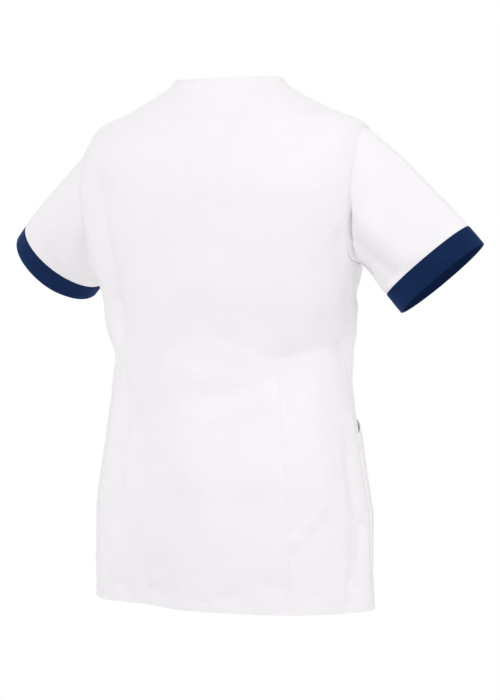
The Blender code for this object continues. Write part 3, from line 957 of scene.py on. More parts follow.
def walls_with_borders(grid: Array, normals: Array, borders: list[Border],
                       wall: float) -> tuple[Array, Array]:
    """Outer and inner surface of a cloth piece.

    A sewn edge dips as a bell, with its cloth puffed beside it and its allowance thicker inside. A
    folded edge is rounded as a quarter ellipse on both faces, with a groove where its stitches run.

    Args:
        grid: the smooth outside, rows by columns by 3.
        normals: its unit normals.
        borders: the finished edges.
        wall: thickness of the cloth.

    Returns:
        The two grids.
    """
    lift = np.zeros(grid.shape[:2])
    thick = np.full(grid.shape[:2], wall)
    roundness = np.ones(grid.shape[:2])
    for border in borders:
        away = border.distance
        pucker = PUCKER.along_line(border.along)
        if border.kind is Edge.SEAM:
            lift -= border.dip * bell(away / SEAM_REACH)
            puff = (SEAM_PUFF + pucker * PUFF_PUCKER) * border.dip / SEAM_DIP
            lift += puff * bell((away - PUFF_PLACE) / PUFF_REACH)
            thick += ALLOWANCE_WALL * ease((ALLOWANCE - away) / ALLOWANCE_SLOPE)
        else:
            part = np.clip(away / FOLD_REACH, 0.0, 1.0)
            roundness *= np.sqrt(1 - (1 - part) ** 2)
            if border.hem > 0:
                lift -= GROOVE_DEPTH * bell((away - border.hem) / GROOVE_REACH)
                lift += pucker * bell((away - border.hem) / PUCKER_REACH)
                thick += ALLOWANCE_WALL * ease((border.hem + HEM_PAST - away) / ALLOWANCE_SLOPE)
    shrink = FOLD_SHARE * thick * (1 - roundness)
    return (grid + normals * (lift - shrink)[..., None],
            grid + normals * (lift - thick + shrink)[..., None])


def make_shell(node: str, outer: Array, inner: Array, finish: Finish,
               closed: bool = False) -> bpy.types.Object:
    """A cloth piece in place of its solid, with its grain as a UV map.

    Args:
        node: name of the solid.
        outer, inner: the cloth's two surfaces, rows by columns by 3.
        finish: what it is made of.
        closed: whether the last column meets the first.

    Returns:
        The piece.
    """
    grain = grain_uv(outer).reshape(-1, 2)
    piece = make_piece(f"{node}_twill", np.concatenate([outer, inner]),
                       shell_faces(*outer.shape[:2], closed), finish,
                       np.concatenate([grain, grain]))
    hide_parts(node)
    return piece


@dataclass
class StitchRow:
    """A row of machine stitches laid on a cloth surface."""
    name: str
    pitch: float = STITCH_PITCH
    length: float = STITCH_LENGTH
    radius: float = THREAD_RADIUS
    shoulder: float = 0.3       # share of its length from the middle to where a stitch tapers
    sink: float = 0.7           # share of its radius by which its tips go into the cloth
    sides: int = 6
    paths: list[tuple[Array, Array, Array]] = field(default_factory=list)

    def follow(self, path: Array, normals: Array, trim: float = 1.5 * MM) -> None:
        """Lay stitches along a path, leaving a little at both ends.

        Args:
            path: points on the cloth.
            normals: the cloth's normals there.
            trim: how much of each end stays bare.
        """
        run = running_length(path)
        count = int((run[-1] - 2 * trim) / self.pitch)
        if count < 1:
            return
        at = np.linspace(trim, run[-1] - trim, count)
        centre, out = (np.stack([np.interp(at, run, values[:, k]) for k in range(3)], axis=-1)
                       for values in (path, normals))
        tangent = unit(np.gradient(centre, axis=0)) if count > 1 else unit(path[-1:] - path[:1])
        self.paths.append((centre, tangent, unit(out)))

    def build(self) -> bpy.types.Object:
        """Make every stitch as a spindle along its tangent: two rings of points and two tips.

        Returns:
            The piece.
        """
        centre, tangent, out = (np.concatenate(part) for part in zip(*self.paths))
        beside = unit(np.cross(out, tangent))
        this = np.arange(self.sides)
        turn = this * math.pi / (self.sides / 2)
        ring = np.stack([np.cos(turn), np.sin(turn)], axis=-1) * self.radius
        half, shoulder = self.length / 2, self.length * self.shoulder
        tips = np.array([[x, 0, -self.radius * self.sink] for x in (-half, half)])
        rings = [np.column_stack([np.full(self.sides, x), ring]) for x in (-shoulder, shoulder)]
        spindle = np.concatenate([tips[:1], *rings, tips[1:]])
        points = (centre[:, None] + spindle[None, :, :1] * tangent[:, None]
                  + spindle[None, :, 1:2] * beside[:, None] + spindle[None, :, 2:] * out[:, None])
        first, second = 1 + this, 1 + self.sides + this
        first_next, second_next = np.roll(first, -1), np.roll(second, -1)
        start, end = np.zeros(self.sides, int), np.full(self.sides, len(spindle) - 1)
        faces = np.concatenate([np.stack(corners, axis=-1) for corners in (
            (start, first_next, first), (first, first_next, second_next),
            (first, second_next, second), (end, second, second_next))])
        every = faces[None] + len(spindle) * np.arange(len(centre))[:, None, None]
        return make_piece(self.name, points, every.reshape(-1, 3), WHITE_THREAD)


def body_rows(top: float) -> Array:
    """Climbs of a panel's rows, close together at the hem, the armhole's ends and the neck.

    Args:
        top: climb of the panel's upper end.

    Returns:
        Rising climbs from the hem, at 0, to the top.
    """
    neck = FORM.neck_point - NECK_STEPS
    skirt = np.arange(HEM_STEPS[-1] + GRID_STEP, FORM.underarm - 1 * MM, GRID_STEP)
    shoulder = np.arange(FORM.shoulder_tip + 2 * MM, neck[-1] - 1 * MM, GRID_STEP)
    every = np.concatenate([HEM_STEPS, skirt, [FORM.underarm], FORM.armhole_climbs(), shoulder,
                            neck])
    every = np.unique(np.round(every, 7))
    return np.concatenate([every[every < top - 1e-6], [top]])


@dataclass
class ClothPanel:
    """A body panel: the stretch of the form between two edges."""
    node: str
    side: Side
    climbs: Array
    from_edge: Array
    to_edge: Array
    kinds: tuple[Edge, Edge, Edge, Edge]            # from, to, bottom, top
    flat: tuple[float, float]
    area: float
    rests_on: tuple[str, ...]
    hems: tuple[float, float, float, float] = (0.0, 0.0, HEM_WIDTH, NECK_STITCH)
    seam_share: tuple[Array | float, Array | float] = (1.0, 1.0)    # how deep the side seams are
    raised: PanelMap | None = None      # lift over the form
    moved_up: PanelMap | None = None    # climb added to a place
    edge_room: float = 2.4              # a narrow row gives 1 / this to the columns near an edge
    least_columns: int = 4
    apart: tuple[float, float] = (0.31, 0.17)       # so that opposite edges pucker differently

    def angles(self, share: Array) -> Array:
        """Angles at shares of the way from one edge to the other."""
        return self.from_edge[:, None] + (self.to_edge - self.from_edge)[:, None] * share

    @property
    def order(self) -> slice:
        """The order of columns that faces out."""
        return slice(None, None, self.side.value)

    def shares(self) -> tuple[Array, Array]:
        """Place of each column between the edges, and the width of each row in metres.

        Returns:
            Shares, rows by columns, close together at both edges; and widths, rows by 1.
        """
        coarse = self.angles(np.linspace(0.0, 1.0, 25))
        points = FORM.point(self.side.value * coarse, self.climbs[:, None])
        width = np.linalg.norm(np.diff(points, axis=1), axis=-1).sum(axis=1)[:, None]
        edge = EDGE_STEPS * np.minimum(1.0, width / (self.edge_room * EDGE_STEPS[-1])) / width
        room = np.median(width) - 2 * EDGE_STEPS[-1]
        inner = np.linspace(0.0, 1.0, max(self.least_columns, int(room / GRID_STEP)) + 2)[1:-1]
        middle = edge[:, -1:] + (1 - 2 * edge[:, -1:]) * inner
        return np.concatenate([edge, middle, 1 - edge[:, ::-1]], axis=1), width

    def surfaces(self) -> tuple[Array, Array, Array]:
        """The panel's two surfaces, with columns in the order that faces out.

        Returns:
            Outer grid, inner grid, and the unit normals.
        """
        share, width = self.shares()
        angle = self.angles(share)
        climb = np.broadcast_to(self.climbs[:, None], angle.shape)
        up = (climb - climb[0]) / (climb[-1] - climb[0])
        if self.moved_up is not None:
            climb = climb + self.moved_up(share, up)
        grid = FORM.point(self.side.value * angle, climb)[:, self.order]
        normals = grid_normals(grid)
        if self.raised is not None:
            grid = grid + normals * self.raised(share, up)[:, self.order][..., None]
        away = [share * width, (1 - share) * width, climb - climb[0], climb[-1] - climb]
        along = [climb, climb + self.apart[0], share * width, share * width + self.apart[1]]
        narrow = np.clip(width / ALLOWANCE, 0.0, 1.0)
        dips = [SEAM_DIP * narrow * np.reshape(share_of, (-1, 1))
                for share_of in (*self.seam_share, 1.0, 1.0)]
        borders = [Border(kind, distance[:, self.order], line[:, self.order], hem, dip)
                   for kind, distance, line, hem, dip in zip(self.kinds, away, along, self.hems,
                                                             dips)]
        outer, inner = walls_with_borders(grid, normals, borders, CLOTH_WALL)
        return outer, inner, normals

    def build(self) -> None:
        """Make the panel and the stitches of its hems, in place of its solid."""
        outer, inner, normals = self.surfaces()
        piece = make_shell(self.node, outer, inner, WHITE_TWILL)
        self.stitch(outer, normals)

    def stitch(self, outer: Array, normals: Array) -> list[bpy.types.Object]:
        """Rows of stitches along the hems.

        Args:
            outer: outside of the panel, rows by columns by 3.
            normals: its unit normals.

        Returns:
            The stitches as one piece, or none where the panel has no hem.
        """
        row = StitchRow(f"{self.node}_twill_stitches")
        rows_up = self.climbs - self.climbs[0]
        for number, hem in enumerate(self.hems):
            if hem <= 0 or self.kinds[number] is Edge.SEAM:
                continue
            if number < 2:
                column = int(np.argmin(np.abs(EDGE_STEPS - hem)))
                place = (slice(None), column if number == 0 else -1 - column)
            else:
                distance = rows_up if number == 2 else rows_up[-1] - rows_up
                place = (int(np.argmin(np.abs(distance - hem))), slice(None))
            row.follow(outer[:, self.order][place], normals[:, self.order][place])
        return [row.build()] if row.paths else []


@dataclass
class Back:
    """The centre back and both side backs, joined by the princess seams."""
    tip: float = 0.0010             # the side back stops this far below the top of its seam
    smooth_above: float = -0.350    # the waist: above it the seams are pressed nearly flat
    flat_share: float = 0.15        # depth of a seam above the waist, and what is added below
    added_share: float = 0.75
    waist_run: float = 0.030
    top_run: float = 0.010

    def seam_share(self, rows: Array) -> Array:
        """How deep the princess seams are at each row, eased at the waist."""
        below = (FORM.climb_at(self.smooth_above) - rows) / self.waist_run
        return self.flat_share + self.added_share * ease(below)

    def build(self) -> None:
        """Make the three panels."""
        rows = body_rows(FORM.neck_point)
        on_seam = rows < FORM.princess_top
        seams = np.where(on_seam, self.seam_share(rows), 1.0)
        seams = seams * ease(np.abs(rows - FORM.princess_top) / self.top_run)
        edge = np.where(on_seam, FORM.princess_edge(rows), FORM.outer_edge(rows, in_front=False))
        ClothPanel("back_centre", Side.RIGHT, rows, -edge, edge,
                   (Edge.SEAM, Edge.SEAM, Edge.FOLD, Edge.FOLD), flat=(0.46, 0.75), area=0.240,
                   rests_on=("front_R", "front_L"), seam_share=(seams, seams)).build()
        rows = body_rows(FORM.princess_top - self.tip)
        for side in Side:
            ClothPanel(f"back_side_{side.letter}", side, rows, FORM.princess_edge(rows),
                       FORM.outer_edge(rows, in_front=False),
                       (Edge.SEAM, Edge.SEAM, Edge.FOLD, Edge.SEAM), flat=(0.18, 0.54),
                       area=0.066, rests_on=("back_centre",),
                       seam_share=(self.seam_share(rows), 1.0)).build()


@dataclass
class Fronts:
    """Both fronts, the right one over the left one at the centre."""
    neck_half_width: float = 0.0735
    neck_drop: float = 0.125
    neck_curve: float = 0.85
    lap: float = 0.015              # how far a front goes past the centre
    lap_run: float = 0.030          # the left one eases down over this distance
    lap_speed: float = 1.1
    under: float = 0.0021           # how far the left front lies below the right one

    def inner_edge(self, rows: Array) -> Array:
        """A front's edge, past the centre and then up the slope of the neck.

        Args:
            rows: climbs.

        Returns:
            Its angle: 180 degrees less that of a reach of (neck + lap) rise^curve - lap.
        """
        height = FORM.across("height", rows)
        top = FORM.sections[-1].height
        rise = np.clip((height + self.neck_drop) / (top + self.neck_drop), 0.0, 1.0)
        reach = -self.lap + (self.neck_half_width + self.lap) * rise ** self.neck_curve
        return 180.0 - np.degrees(np.arcsin(reach / FORM.across("half_width", rows)))

    def tucked(self, rows: Array) -> PanelMap:
        """Lift of the left front, which eases below the right one towards the centre.

        Args:
            rows: climbs of the front's rows.

        Returns:
            The lift for shares across and up.
        """
        from_edge, to_edge = FORM.outer_edge(rows, in_front=True), self.inner_edge(rows)
        half_width = FORM.across("half_width", rows)[:, None]

        def lift(share: Array, _: Array) -> Array:
            """Minus the depth, eased over the lap's run before the centre.

            Args:
                share: place between the front's side and its inner edge.

            Returns:
                The lift, in metres.
            """
            angle = from_edge[:, None] + (to_edge - from_edge)[:, None] * share
            past = angle - 180.0 + np.degrees((self.lap + self.lap_run) / half_width)
            return -self.under * ease(past / np.degrees(self.lap_run / half_width)
                                      * self.lap_speed)

        return lift

    def build(self) -> None:
        """Make both fronts."""
        rows = body_rows(FORM.neck_point)
        for side in Side:
            ClothPanel(f"front_{side.letter}", side, rows, FORM.outer_edge(rows, in_front=True),
                       self.inner_edge(rows), (Edge.SEAM, Edge.FOLD, Edge.FOLD, Edge.FOLD),
                       flat=(0.31, 0.75), area=0.173, rests_on=("back_centre",),
                       hems=(0.0, NECK_STITCH, HEM_WIDTH, NECK_STITCH),
                       raised=self.tucked(rows) if side is Side.LEFT else None).build()


@dataclass
class Pockets:
    """Patch pockets low on the fronts, stitched down at their sides and bottom."""
    fronts: Fronts
    top_height: float = -0.460
    bottom_height: float = -0.645
    from_share: float = 1 / 12      # of the way from the side seam to the front edge
    to_share: float = 8 / 12
    off_front: float = 1.1 * MM     # it lies on the front's wall
    gape: float = 0.0035            # how far the mouth stands open
    gape_fullness: float = 0.7
    gape_speed: float = 1.2
    scoop: float = 0.0080           # the mouth is this much lower at its side end, higher inside
    scoop_run: float = 0.42
    mouth_hem: float = 22.0 * MM
    edge_stitch: float = 2.0 * MM

    def rows(self) -> Array:
        """Climbs of the pocket's rows, close together at both ends and at the mouth's stitches.

        Returns:
            Rising climbs.
        """
        low, high = FORM.climb_at(self.bottom_height), FORM.climb_at(self.top_height)
        edge = EDGE_STEPS[:-3]
        groove = self.mouth_hem + np.array([-0.8, 0.0, 0.8]) * MM
        middle = np.arange(low + edge[-1], high - edge[-1], GRID_STEP)
        every = np.concatenate([low + edge, middle, high - groove, high - edge])
        return np.unique(np.round(every, 7))

    def raised(self, share: Array, up: Array) -> Array:
        """The front's wall, and a gape that grows as a half sine towards the mouth."""
        gape = self.gape * np.sin(math.pi * share) ** self.gape_fullness
        return self.off_front + gape * ease(up * self.gape_speed)

    def scooped(self, share: Array, up: Array) -> Array:
        """The mouth climbs from the side seam inwards, along an eased step."""
        return self.scoop * (2.0 * ease(share / self.scoop_run) - 1.0) * up ** 3

    def build(self) -> None:
        """Make both pockets."""
        rows = self.rows()
        outer, inner = FORM.outer_edge(rows, in_front=True), self.fronts.inner_edge(rows)
        for side in Side:
            ClothPanel(f"pocket_{side.letter}", side, rows,
                       outer + (inner - outer) * self.from_share,
                       outer + (inner - outer) * self.to_share, (Edge.FOLD,) * 4,
                       flat=(0.16, 0.19), area=0.0285, rests_on=(f"front_{side.letter}",),
                       hems=(*(self.edge_stitch,) * 3, self.mouth_hem),
                       raised=self.raised, moved_up=self.scooped).build()


@dataclass(frozen=True)
class ArmPose:
    """How a sleeve is held, in directions for the wearer's right arm."""
    end: tuple[float, float, float]         # middle of the cuff's seam
    axis: tuple[float, float, float]        # out of the cuff
    over: tuple[float, float, float]        # from under to over the arm
    leaves: tuple[float, float, float]      # the way the cloth leaves the armhole


ARM_POSES = {
    Side.RIGHT: ArmPose(end=(-0.2824, -0.0134, -0.2381), axis=(-0.642, -0.125, -0.757),
                        over=(-0.704, -0.297, 0.646), leaves=(-0.800, 0.020, -0.600)),
    Side.LEFT: ArmPose(end=(-0.3011, -0.0504, -0.2278), axis=(-0.734, -0.427, -0.527),
                       over=(-0.678, 0.421, 0.603), leaves=(-0.720, -0.050, -0.690)),
}

SLEEVE_CREASES = {side: tuple(crease_between(ARM_RADIUS, row[:2], row[2:4], *row[4:])
                              for row in rows) for side, rows in {
    # from turn, along, to turn, along, half width, lift, bow, lean
    Side.RIGHT: (
        (77, 0.004, 75, 0.165, 0.014, 0.0046),          # the edge of the fold from the armpit
        (46, 0.004, 44, 0.165, 0.016, -0.0066, 0, 0.25),# and the hollow below it
        (25, 0.012, 21, 0.08, 0.009, -0.0016),
        (16, 0.002, 84, 0.002, 0.003, -0.0044),         # deep beside the armhole seam
        (46, 0.003, 78, 0.003, 0.0026, -0.0072),        # and deepest behind it
        (10, -0.004, 12, 0.034, 0.015, -0.0062),        # drawn up under the arm
        (-4, 0.004, 38, 0.0034, 0.003, -0.0115),        # and tucked in beside the body
        (74, 0.017, 108, 0.019, 0.004, 0.0012),
        (72, 0.025, 104, 0.028, 0.0042, -0.001),
        (128, 0.012, 128, 0.12, 0.014, 0.0016),         # falling away over the arm
        (156, 0.012, 154, 0.11, 0.014, -0.0016),
        (-60, 0.01, -68, 0.1, 0.016, -0.0034),
        (-96, 0.012, -100, 0.09, 0.012, -0.0018),
    ),
    Side.LEFT: (
        (106, 0.017, 76, 0.006, 0.0042, -0.0032),       # a thin crease behind the seam
        (52, 0.002, 50, 0.08, 0.011, -0.0052),          # the hollow behind the armpit
        (74, 0.012, 72, 0.13, 0.015, 0.0036),
        (24, 0.03, 24, 0.11, 0.01, 0.002),
        (96, 0.06, 98, 0.13, 0.012, -0.0014),
        (-58, 0.01, -64, 0.11, 0.016, -0.0036),
        (-100, 0.014, -96, 0.1, 0.012, -0.0018),
    ),
}.items()}


@dataclass
class SleeveAndCuff:
    """A short set-in sleeve with its doubled navy cuff."""
    side: Side
    half_height: float = 0.0695         # of the cuff's ring, from under to over the arm
    half_depth: float = 0.0400
    cuff_width: float = 0.0305
    cuff_wall: float = 1.6 * MM
    flare: float = 0.006                # how much deeper the cuff's opening is than its seam
    tuck: float = 3.0 * MM              # the sleeve goes in behind the armhole seam
    tuck_share: float = 0.6
    seam_dip: float = 0.5 * MM
    usual_length: float = 0.15          # of a sleeve, for its close rows
    first_step: float = 0.017           # share of its length after them, and between the others
    even_step: float = 0.019
    uneven_run: float = 0.020           # the unevenness starts over this distance
    cuff_run: float = 0.012             # the creases fade out before the cuff
    armhole_run: float = 1.8 * MM       # and start beside the armhole seam
    cuff_rows: int = 9                  # in the middle of the cuff
    cuff_rows_from: float = 7.2 * MM
    cuff_calm: float = 0.6

    def turns(self) -> Array:
        """Places round the arm, in the order that faces out."""
        up = FORM.armhole_turn(FORM.armhole_climbs())
        return np.concatenate([up, 2 * math.pi - up[-2:0:-1]])[::-self.side.value]

    def round_arm(self, shape: tuple[int, ...]) -> Array:
        """Distance round the arm from its underarm seam, plus behind it, for a grid of points."""
        signed = ((self.turns() + math.pi) % (2 * math.pi) - math.pi) * ARM_RADIUS
        return np.broadcast_to(signed, shape)

    def mirrored(self, points: Array) -> Array:
        """Points given for the wearer's right arm, on this side."""
        return points * np.array([float(self.side.value), 1.0, 1.0])

    def frame(self) -> tuple[Array, Array, Array]:
        """The arm's own directions.

        Returns:
            Unit vectors out of the cuff, over the arm, and behind the arm.
        """
        pose = ARM_POSES[self.side]
        axis = unit(np.array(pose.axis))
        over = np.array(pose.over)
        over = unit(over - (over @ axis) * axis)
        return axis, over, np.cross(axis, over)

    def ring(self, turn: Array, along: float) -> Array:
        """A ring of the cuff.

        Args:
            turn: 0 under the arm, pi / 2 behind it, pi over it.
            along: metres from the cuff's seam.

        Returns:
            end + along axis - h cos t over + d sin t back, d growing along the cuff.
        """
        axis, over, back = self.frame()
        turn = turn[..., None]
        depth = self.half_depth + self.flare * ease(np.array(along / self.cuff_width))
        return self.mirrored(np.array(ARM_POSES[self.side].end) + along * axis
                             - self.half_height * np.cos(turn) * over
                             + depth * np.sin(turn) * back)

    def sleeve_grid(self) -> tuple[Array, Array, Array]:
        """Outside of the sleeve: a cubic run from the armhole to the cuff at each turn.

        Returns:
            Points, and for each its distance from the armhole and from the cuff.
        """
        turn = self.turns()
        pose = ARM_POSES[self.side]
        angle, climb = FORM.armhole(turn)
        start, end = FORM.point(self.side.value * angle, climb), self.ring(turn, 0.0)
        length = np.linalg.norm(end - start, axis=-1, keepdims=True)
        leaving = length * self.mirrored(unit(np.array(pose.leaves)))
        arriving = length * self.mirrored(unit(np.array(pose.axis)))
        close = ARMHOLE_STEPS / self.usual_length
        even = np.arange(close[-1] + self.first_step, 1 - close[-1], self.even_step)
        steps = np.concatenate([close, even, 1 - close[::-1]])
        grid = hermite(start, leaving, end, arriving, steps[:, None, None])
        inside = start - self.tuck * unit(leaving) * self.tuck_share
        grid = np.concatenate([inside[None], grid])
        away = np.concatenate([[-self.tuck * np.ones(len(turn))], steps[:, None] * length[:, 0]])
        return grid, away, away[-1] - away

    def build_sleeve(self) -> None:
        """Make the sleeve in place of its solid."""
        grid, from_armhole, from_cuff = self.sleeve_grid()
        normals = grid_normals(grid, closed=True)
        normals[0] = normals[2]
        line = self.round_arm(from_armhole.shape)
        lift = sum(crease.at(line, from_armhole) for crease in SLEEVE_CREASES[self.side])
        lift = lift + FORM.unevenness(grid) * ease(from_armhole / self.uneven_run)
        lift = lift * ease(from_cuff / self.cuff_run) * ease(from_armhole / self.armhole_run)
        grid = grid + normals * lift[..., None]
        borders = [Border(Edge.SEAM, np.abs(from_armhole), line, dip=0.0),
                   Border(Edge.SEAM, from_cuff, line, dip=self.seam_dip),
                   Border(Edge.SEAM, np.abs(line), from_armhole, dip=self.seam_dip)]
        walls = walls_with_borders(grid, normals, borders, CLOTH_WALL)
        piece = make_shell(f"sleeve_{self.side.letter}", *walls, WHITE_TWILL, closed=True)

    def build_cuff(self) -> None:
        """Make the cuff: a doubled band with a rounded outer fold and a seam under the arm."""
        middle = np.linspace(self.cuff_rows_from, self.cuff_width - self.cuff_rows_from,
                             self.cuff_rows)
        along = np.concatenate([CUFF_STEPS, middle, self.cuff_width - CUFF_STEPS[::-1]])
        grid = np.stack([self.ring(self.turns(), step) for step in along])
        normals = grid_normals(grid, closed=True)
        away = np.broadcast_to(along[:, None], grid.shape[:2])
        line = self.round_arm(away.shape)
        grid = grid + normals * FORM.unevenness(grid)[..., None] * self.cuff_calm
        borders = [Border(Edge.SEAM, away, line, dip=self.seam_dip),
                   Border(Edge.FOLD, self.cuff_width - away, line),
                   Border(Edge.SEAM, np.abs(line), away, dip=self.seam_dip)]
        walls = walls_with_borders(grid, normals, borders, self.cuff_wall)
        piece = make_shell(f"cuff_{self.side.letter}", *walls, NAVY_TWILL, closed=True)


# ---------------------------------------------------------------- buttons


@dataclass
class ButtonRow:
    """Flat four-hole buttons down the centre front, with their threads and buttonholes."""
    heights: tuple[float, ...] = (-0.155, -0.250, -0.345, -0.440, -0.535)
    radius: float = 9.0 * MM
    thickness: float = 2.8 * MM
    rim_from: float = 0.62              # the rim rises at this share of the radius
    rim_run: float = 0.16
    rim_fall: float = 0.25              # and falls by this share towards the edge
    dish: float = 0.7 * MM              # depth of the middle below the rim
    edge_round: float = 0.5 * MM
    edge_start: float = 0.35            # turn at which the round edge starts
    hole_offset: float = 2.2 * MM
    hole_radius: float = 1.0 * MM
    hole_depth: float = 1.6 * MM
    pole: float = 0.1 * MM              # radius of the smallest ring
    fine_to: float = 4.5 * MM           # rings are close together as far as here, past the holes
    fine_rings: int = 30
    rim_rings_from: float = 4.8 * MM
    rim_rings: int = 10
    edge_rings: int = 7
    spokes: int = 72
    thread_radius: float = 0.42 * MM
    thread_length: float = 4.6 * MM
    thread_lift: float = 0.75 * MM      # above the button's middle
    thread_offset: float = 0.7          # share of the holes' offset
    slit: float = 20.0 * MM
    slit_half_height: float = 1.3 * MM
    slit_shift: float = 6.5 * MM        # away from the front's edge, with the button near its end
    satin: tuple[float, float] = (0.75 * MM, 0.35 * MM)     # half width and height of its border
    satin_steps: int = 220

    def build(self) -> None:
        """Make every button, its thread and its buttonhole."""
        for number, height in enumerate(self.heights, start=1):
            low, high = (np.array(corner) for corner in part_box(f"button_{number}"))
            climb = np.array(FORM.climb_at(height))
            out = FORM.normal(np.array(180.0), climb)
            beside = unit(np.cross(np.array([0.0, 0.0, 1.0]), out))
            axes = np.stack([beside, np.cross(out, beside), out])
            self.button(number, (low + high) / 2, axes)
            self.thread(number, (low + high) / 2, axes)
            self.buttonhole(number, climb)

    def face(self, r: Array, turn: Array) -> Array:
        """Front of a button: a raised rim, a dished middle, and four holes as flat pits.

        Args:
            r: distance from the middle.
            turn: angle round it.

        Returns:
            Height over the button's middle.
        """
        share = r / self.radius
        rim = (ease((share - self.rim_from) / self.rim_run)
               * (1 - self.rim_fall * ease((share - 0.9) / 0.1)))
        x, y = r * np.cos(turn), r * np.sin(turn)
        solid = np.ones(np.broadcast(r, turn).shape)
        for quarter in np.radians([45, 135, 225, 315]):
            off = np.hypot(x - self.hole_offset * math.cos(quarter),
                           y - self.hole_offset * math.sin(quarter))
            solid = np.minimum(solid, ease((off - self.hole_radius * 0.85)
                                           / (self.hole_radius * 0.3)))
        return self.thickness / 2 - self.dish * (1 - rim) - self.hole_depth * (1 - solid)

    def button(self, number: int, centre: Array, axes: Array) -> None:
        """A turned disc: its front by rings, a round edge, and a flat back.

        Args:
            number: which button, from 1 at the top.
            centre: its middle.
            axes: unit directions across, up and out, as rows.
        """
        turn = np.linspace(0, 2 * math.pi, self.spokes + 1)[:-1]
        flat_to = self.radius - self.edge_round
        rings = np.concatenate([np.linspace(self.pole, self.fine_to, self.fine_rings),
                                np.linspace(self.rim_rings_from, flat_to, self.rim_rings)])
        front = self.face(rings[:, None], turn[None])
        edge_turn = np.linspace(self.edge_start, math.pi, self.edge_rings)[:, None]
        edge_r = flat_to + self.edge_round * np.sin(edge_turn) + 0 * turn
        edge_z = self.face(np.array([[self.radius - 0.2 * MM]]), turn[None]) * np.cos(edge_turn)
        r = np.concatenate([np.broadcast_to(rings[:, None], front.shape), edge_r,
                            np.full((1, len(turn)), self.pole)])
        z = np.concatenate([front, edge_z, edge_z[-1:]])
        grid = centre + np.stack([r * np.cos(turn), r * np.sin(turn), z], axis=-1) @ axes
        index = grid_index(*grid.shape[:2], closed=True)
        piece = make_piece(f"button_{number}_resin", grid, quads(index, turned=True),
                           BUTTON_RESIN)
        close_poles(piece, index[0, :-1], index[-1, :-1][::-1])
        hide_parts(f"button_{number}")

    def thread(self, number: int, centre: Array, axes: Array) -> None:
        """Two bars of thread between the holes.

        Args:
            number: which button, from 1 at the top.
            centre: its middle.
            axes: unit directions across, up and out, as rows.
        """
        thread = StitchRow(f"button_{number}_thread", radius=self.thread_radius,
                           length=self.thread_length)
        for sign in (-1, 1):
            middle = (centre + axes[1] * sign * self.hole_offset * self.thread_offset
                      + axes[2] * self.thread_lift)
            thread.paths.append((middle[None], axes[:1], axes[2:]))
        thread.build()

    def buttonhole(self, number: int, climb: Array) -> None:
        """Close satin stitches round a slit, drawn as one flat oval ring with a rounded section.

        Args:
            number: which buttonhole, from 1 at the top.
            climb: its climb on the form.
        """
        run = np.linspace(0, 2 * math.pi, self.satin_steps + 1)[:-1]
        reach = np.abs(np.cos(run)) ** 0.35 * np.sign(np.cos(run)) * self.slit / 2
        rise = np.abs(np.sin(run)) ** 0.9 * np.sign(np.sin(run)) * self.slit_half_height
        metres_round = np.linalg.norm(FORM.point(181.0, climb) - FORM.point(179.0, climb)) / 2
        angle = 180.0 + (reach - self.slit_shift) / metres_round
        path = FORM.point(angle, climb + rise)
        out = FORM.normal(angle, climb + rise)
        along = unit(np.roll(path, -1, axis=0) - np.roll(path, 1, axis=0))
        beside = np.cross(out, along)
        section = np.linspace(0, 2 * math.pi, 9)[:-1, None]
        ring = (path[:, None] + beside[:, None] * np.cos(section) * self.satin[0]
                + out[:, None] * np.sin(section) * self.satin[1])
        index = grid_index(*ring.shape[:2], closed=True)
        make_piece(f"buttonhole_{number}", ring, quads(np.concatenate([index, index[:1]])),
                   WHITE_THREAD)


def close_poles(piece: bpy.types.Object, *loops: Array) -> None:
    """Add a cap over each ring of vertices, so that the mesh is closed.

    Args:
        piece: the open piece.
        loops: indices of each ring.
    """
    shape = bmesh.new()
    shape.from_mesh(piece.data)
    shape.verts.ensure_lookup_table()
    for loop in loops:
        shape.faces.new([shape.verts[int(k)] for k in loop])
    bmesh.ops.recalc_face_normals(shape, faces=shape.faces)
    shape.to_mesh(piece.data)
    shape.free()
    piece.data.shade_smooth()


# ---------------------------------------------------------------- studio


@dataclass(frozen=True)
class Softbox:
    """A square lamp with a diffuser, which faces the jacket's middle."""
    name: str
    place: tuple[float, float, float]
    power: float
    size: float = 1.5

    def build(self, aim: Vector) -> None:
        """Hang the lamp.

        Args:
            aim: the point that it faces.
        """
        data = bpy.data.lights.new(self.name, "AREA")
        data.size = self.size
        data.energy = self.power
        lamp = add_object(self.name, data)
        lamp.location = self.place
        lamp.rotation_euler = (aim - Vector(self.place)).to_track_quat("-Z", "Y").to_euler()


SOFTBOXES = (
    Softbox("high_softbox", (-1.0, 2.5, 2.9), 25.0),
    Softbox("middle_softbox", (-1.45, 2.75, 1.0), 18.0),
    Softbox("right_high_softbox", (-2.9, 0.9, 2.2), 3.0),
    Softbox("right_softbox", (-3.2, 0.9, 0.4), 11.0),
    Softbox("left_high_softbox", (1.6, 2.3, 2.4), 17.0),
    Softbox("left_softbox", (2.6, 1.9, 0.4), 3.5),
    Softbox("left_rim_softbox", (2.8, 0.2, -0.2), 10.5),
    Softbox("right_rim_softbox", (-2.6, -1.6, 0.4), 12.0),
    Softbox("front_softbox", (1.4, -2.6, 1.3), 13.0),
)


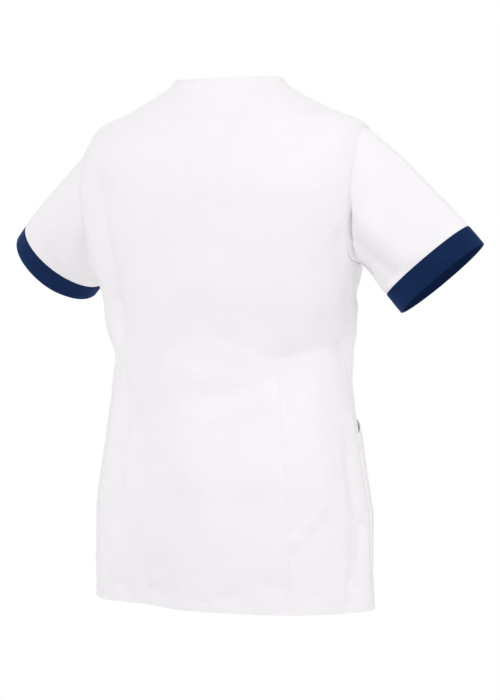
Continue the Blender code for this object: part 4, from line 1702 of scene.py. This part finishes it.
@dataclass
class Studio:
    """White paper, a white surround, soft lamps and the camera."""
    softboxes: tuple[Softbox, ...] = SOFTBOXES
    middle: tuple[float, float, float] = (0.0, 0.0, -0.3)       # of the jacket
    floor_height: float = -1.35
    floor_rings: tuple[float, ...] = (0.001, 2.0, 5.0, 12.0, 40.0)
    floor_spokes: int = 48
    surround_low: float = 0.05          # strength of the surround below the horizon
    surround_high: float = 0.66         # and towards the ceiling
    surround_turns: tuple[float, float] = (-0.4, 0.8)           # heights where it reaches them
    azimuth: float = 209.0
    eye_height: float = -0.24
    distance: float = 3.0
    film: float = 36.0                  # in mm, as high as the frame
    lens: float = 114.1714
    shift: tuple[float, float] = (0.025714, -0.125714)          # in shares of the frame's height

    def build(self) -> None:
        """Make the floor, the surround, the lamps and the camera."""
        self.floor()
        self.surround()
        for box in self.softboxes:
            box.build(Vector(self.middle))
        self.camera()
        bpy.context.scene.view_settings.view_transform = "Standard"
        LOG.info("studio: %d softboxes", len(self.softboxes))

    def floor(self) -> None:
        """A wide round sheet of paper, by rings and spokes."""
        rings = np.array(self.floor_rings)[:, None]
        turn = np.linspace(0, 2 * math.pi, self.floor_spokes + 1)[:-1]
        grid = np.stack([rings * np.cos(turn), rings * np.sin(turn),
                         np.full((len(rings), len(turn)), self.floor_height)], axis=-1)
        index = grid_index(*grid.shape[:2], closed=True)
        add_object("paper_floor",
                            make_mesh("paper_floor", grid, quads(index, turned=True), PAPER))

    def surround(self) -> None:
        """A surround that lights evenly from all round, and looks plain white."""
        world = bpy.data.worlds.new("white_surround")
        world.use_nodes = True
        tree = world.node_tree
        tree.nodes.clear()
        way = add_node(tree, "ShaderNodeTexCoord").outputs["Generated"]
        height = add_node(tree, "ShaderNodeSeparateXYZ", links={"Vector": way})
        strength = add_node(tree, "ShaderNodeMapRange",
                            {"From Min": self.surround_turns[0],
                             "From Max": self.surround_turns[1],
                             "To Min": self.surround_low, "To Max": self.surround_high},
                            {"Value": height.outputs["Z"]})
        light = add_node(tree, "ShaderNodeBackground", {"Color": (1, 1, 1, 1)},
                         {"Strength": strength.outputs["Result"]})
        seen = add_node(tree, "ShaderNodeBackground", {"Color": (1, 1, 1, 1), "Strength": 1.0})
        rays = add_node(tree, "ShaderNodeLightPath")
        mix = add_node(tree, "ShaderNodeMixShader",
                       links={"Fac": rays.outputs["Is Camera Ray"],
                              1: light.outputs["Background"], 2: seen.outputs["Background"]})
        add_node(tree, "ShaderNodeOutputWorld", links={"Surface": mix.outputs["Shader"]})
        bpy.context.scene.world = world

    def camera(self) -> None:
        """A level camera behind the wearer's right, with the jacket a little up and left."""
        turn = math.radians(self.azimuth)
        data = bpy.data.cameras.new("camera")
        data.sensor_width = self.film
        data.lens = self.lens
        data.shift_x, data.shift_y = self.shift
        data.clip_end = 200.0
        camera = add_object("camera", data)
        camera.location = (math.sin(turn) * self.distance, -math.cos(turn) * self.distance,
                           self.eye_height)
        camera.rotation_euler = (math.pi / 2, 0.0, turn)
        bpy.context.scene.camera = camera


def main() -> None:
    """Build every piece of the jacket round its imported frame, and the studio."""
    logging.basicConfig(level=logging.INFO, format="%(name)s: %(message)s")
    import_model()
    Studio().build()
    Back().build()
    fronts = Fronts()
    fronts.build()
    Pockets(fronts).build()
    for side in Side:
        arm = SleeveAndCuff(side)
        arm.build_sleeve()
        arm.build_cuff()
    ButtonRow().build()
    LOG.info("all pieces built")


if __name__ == "__main__":
    main()
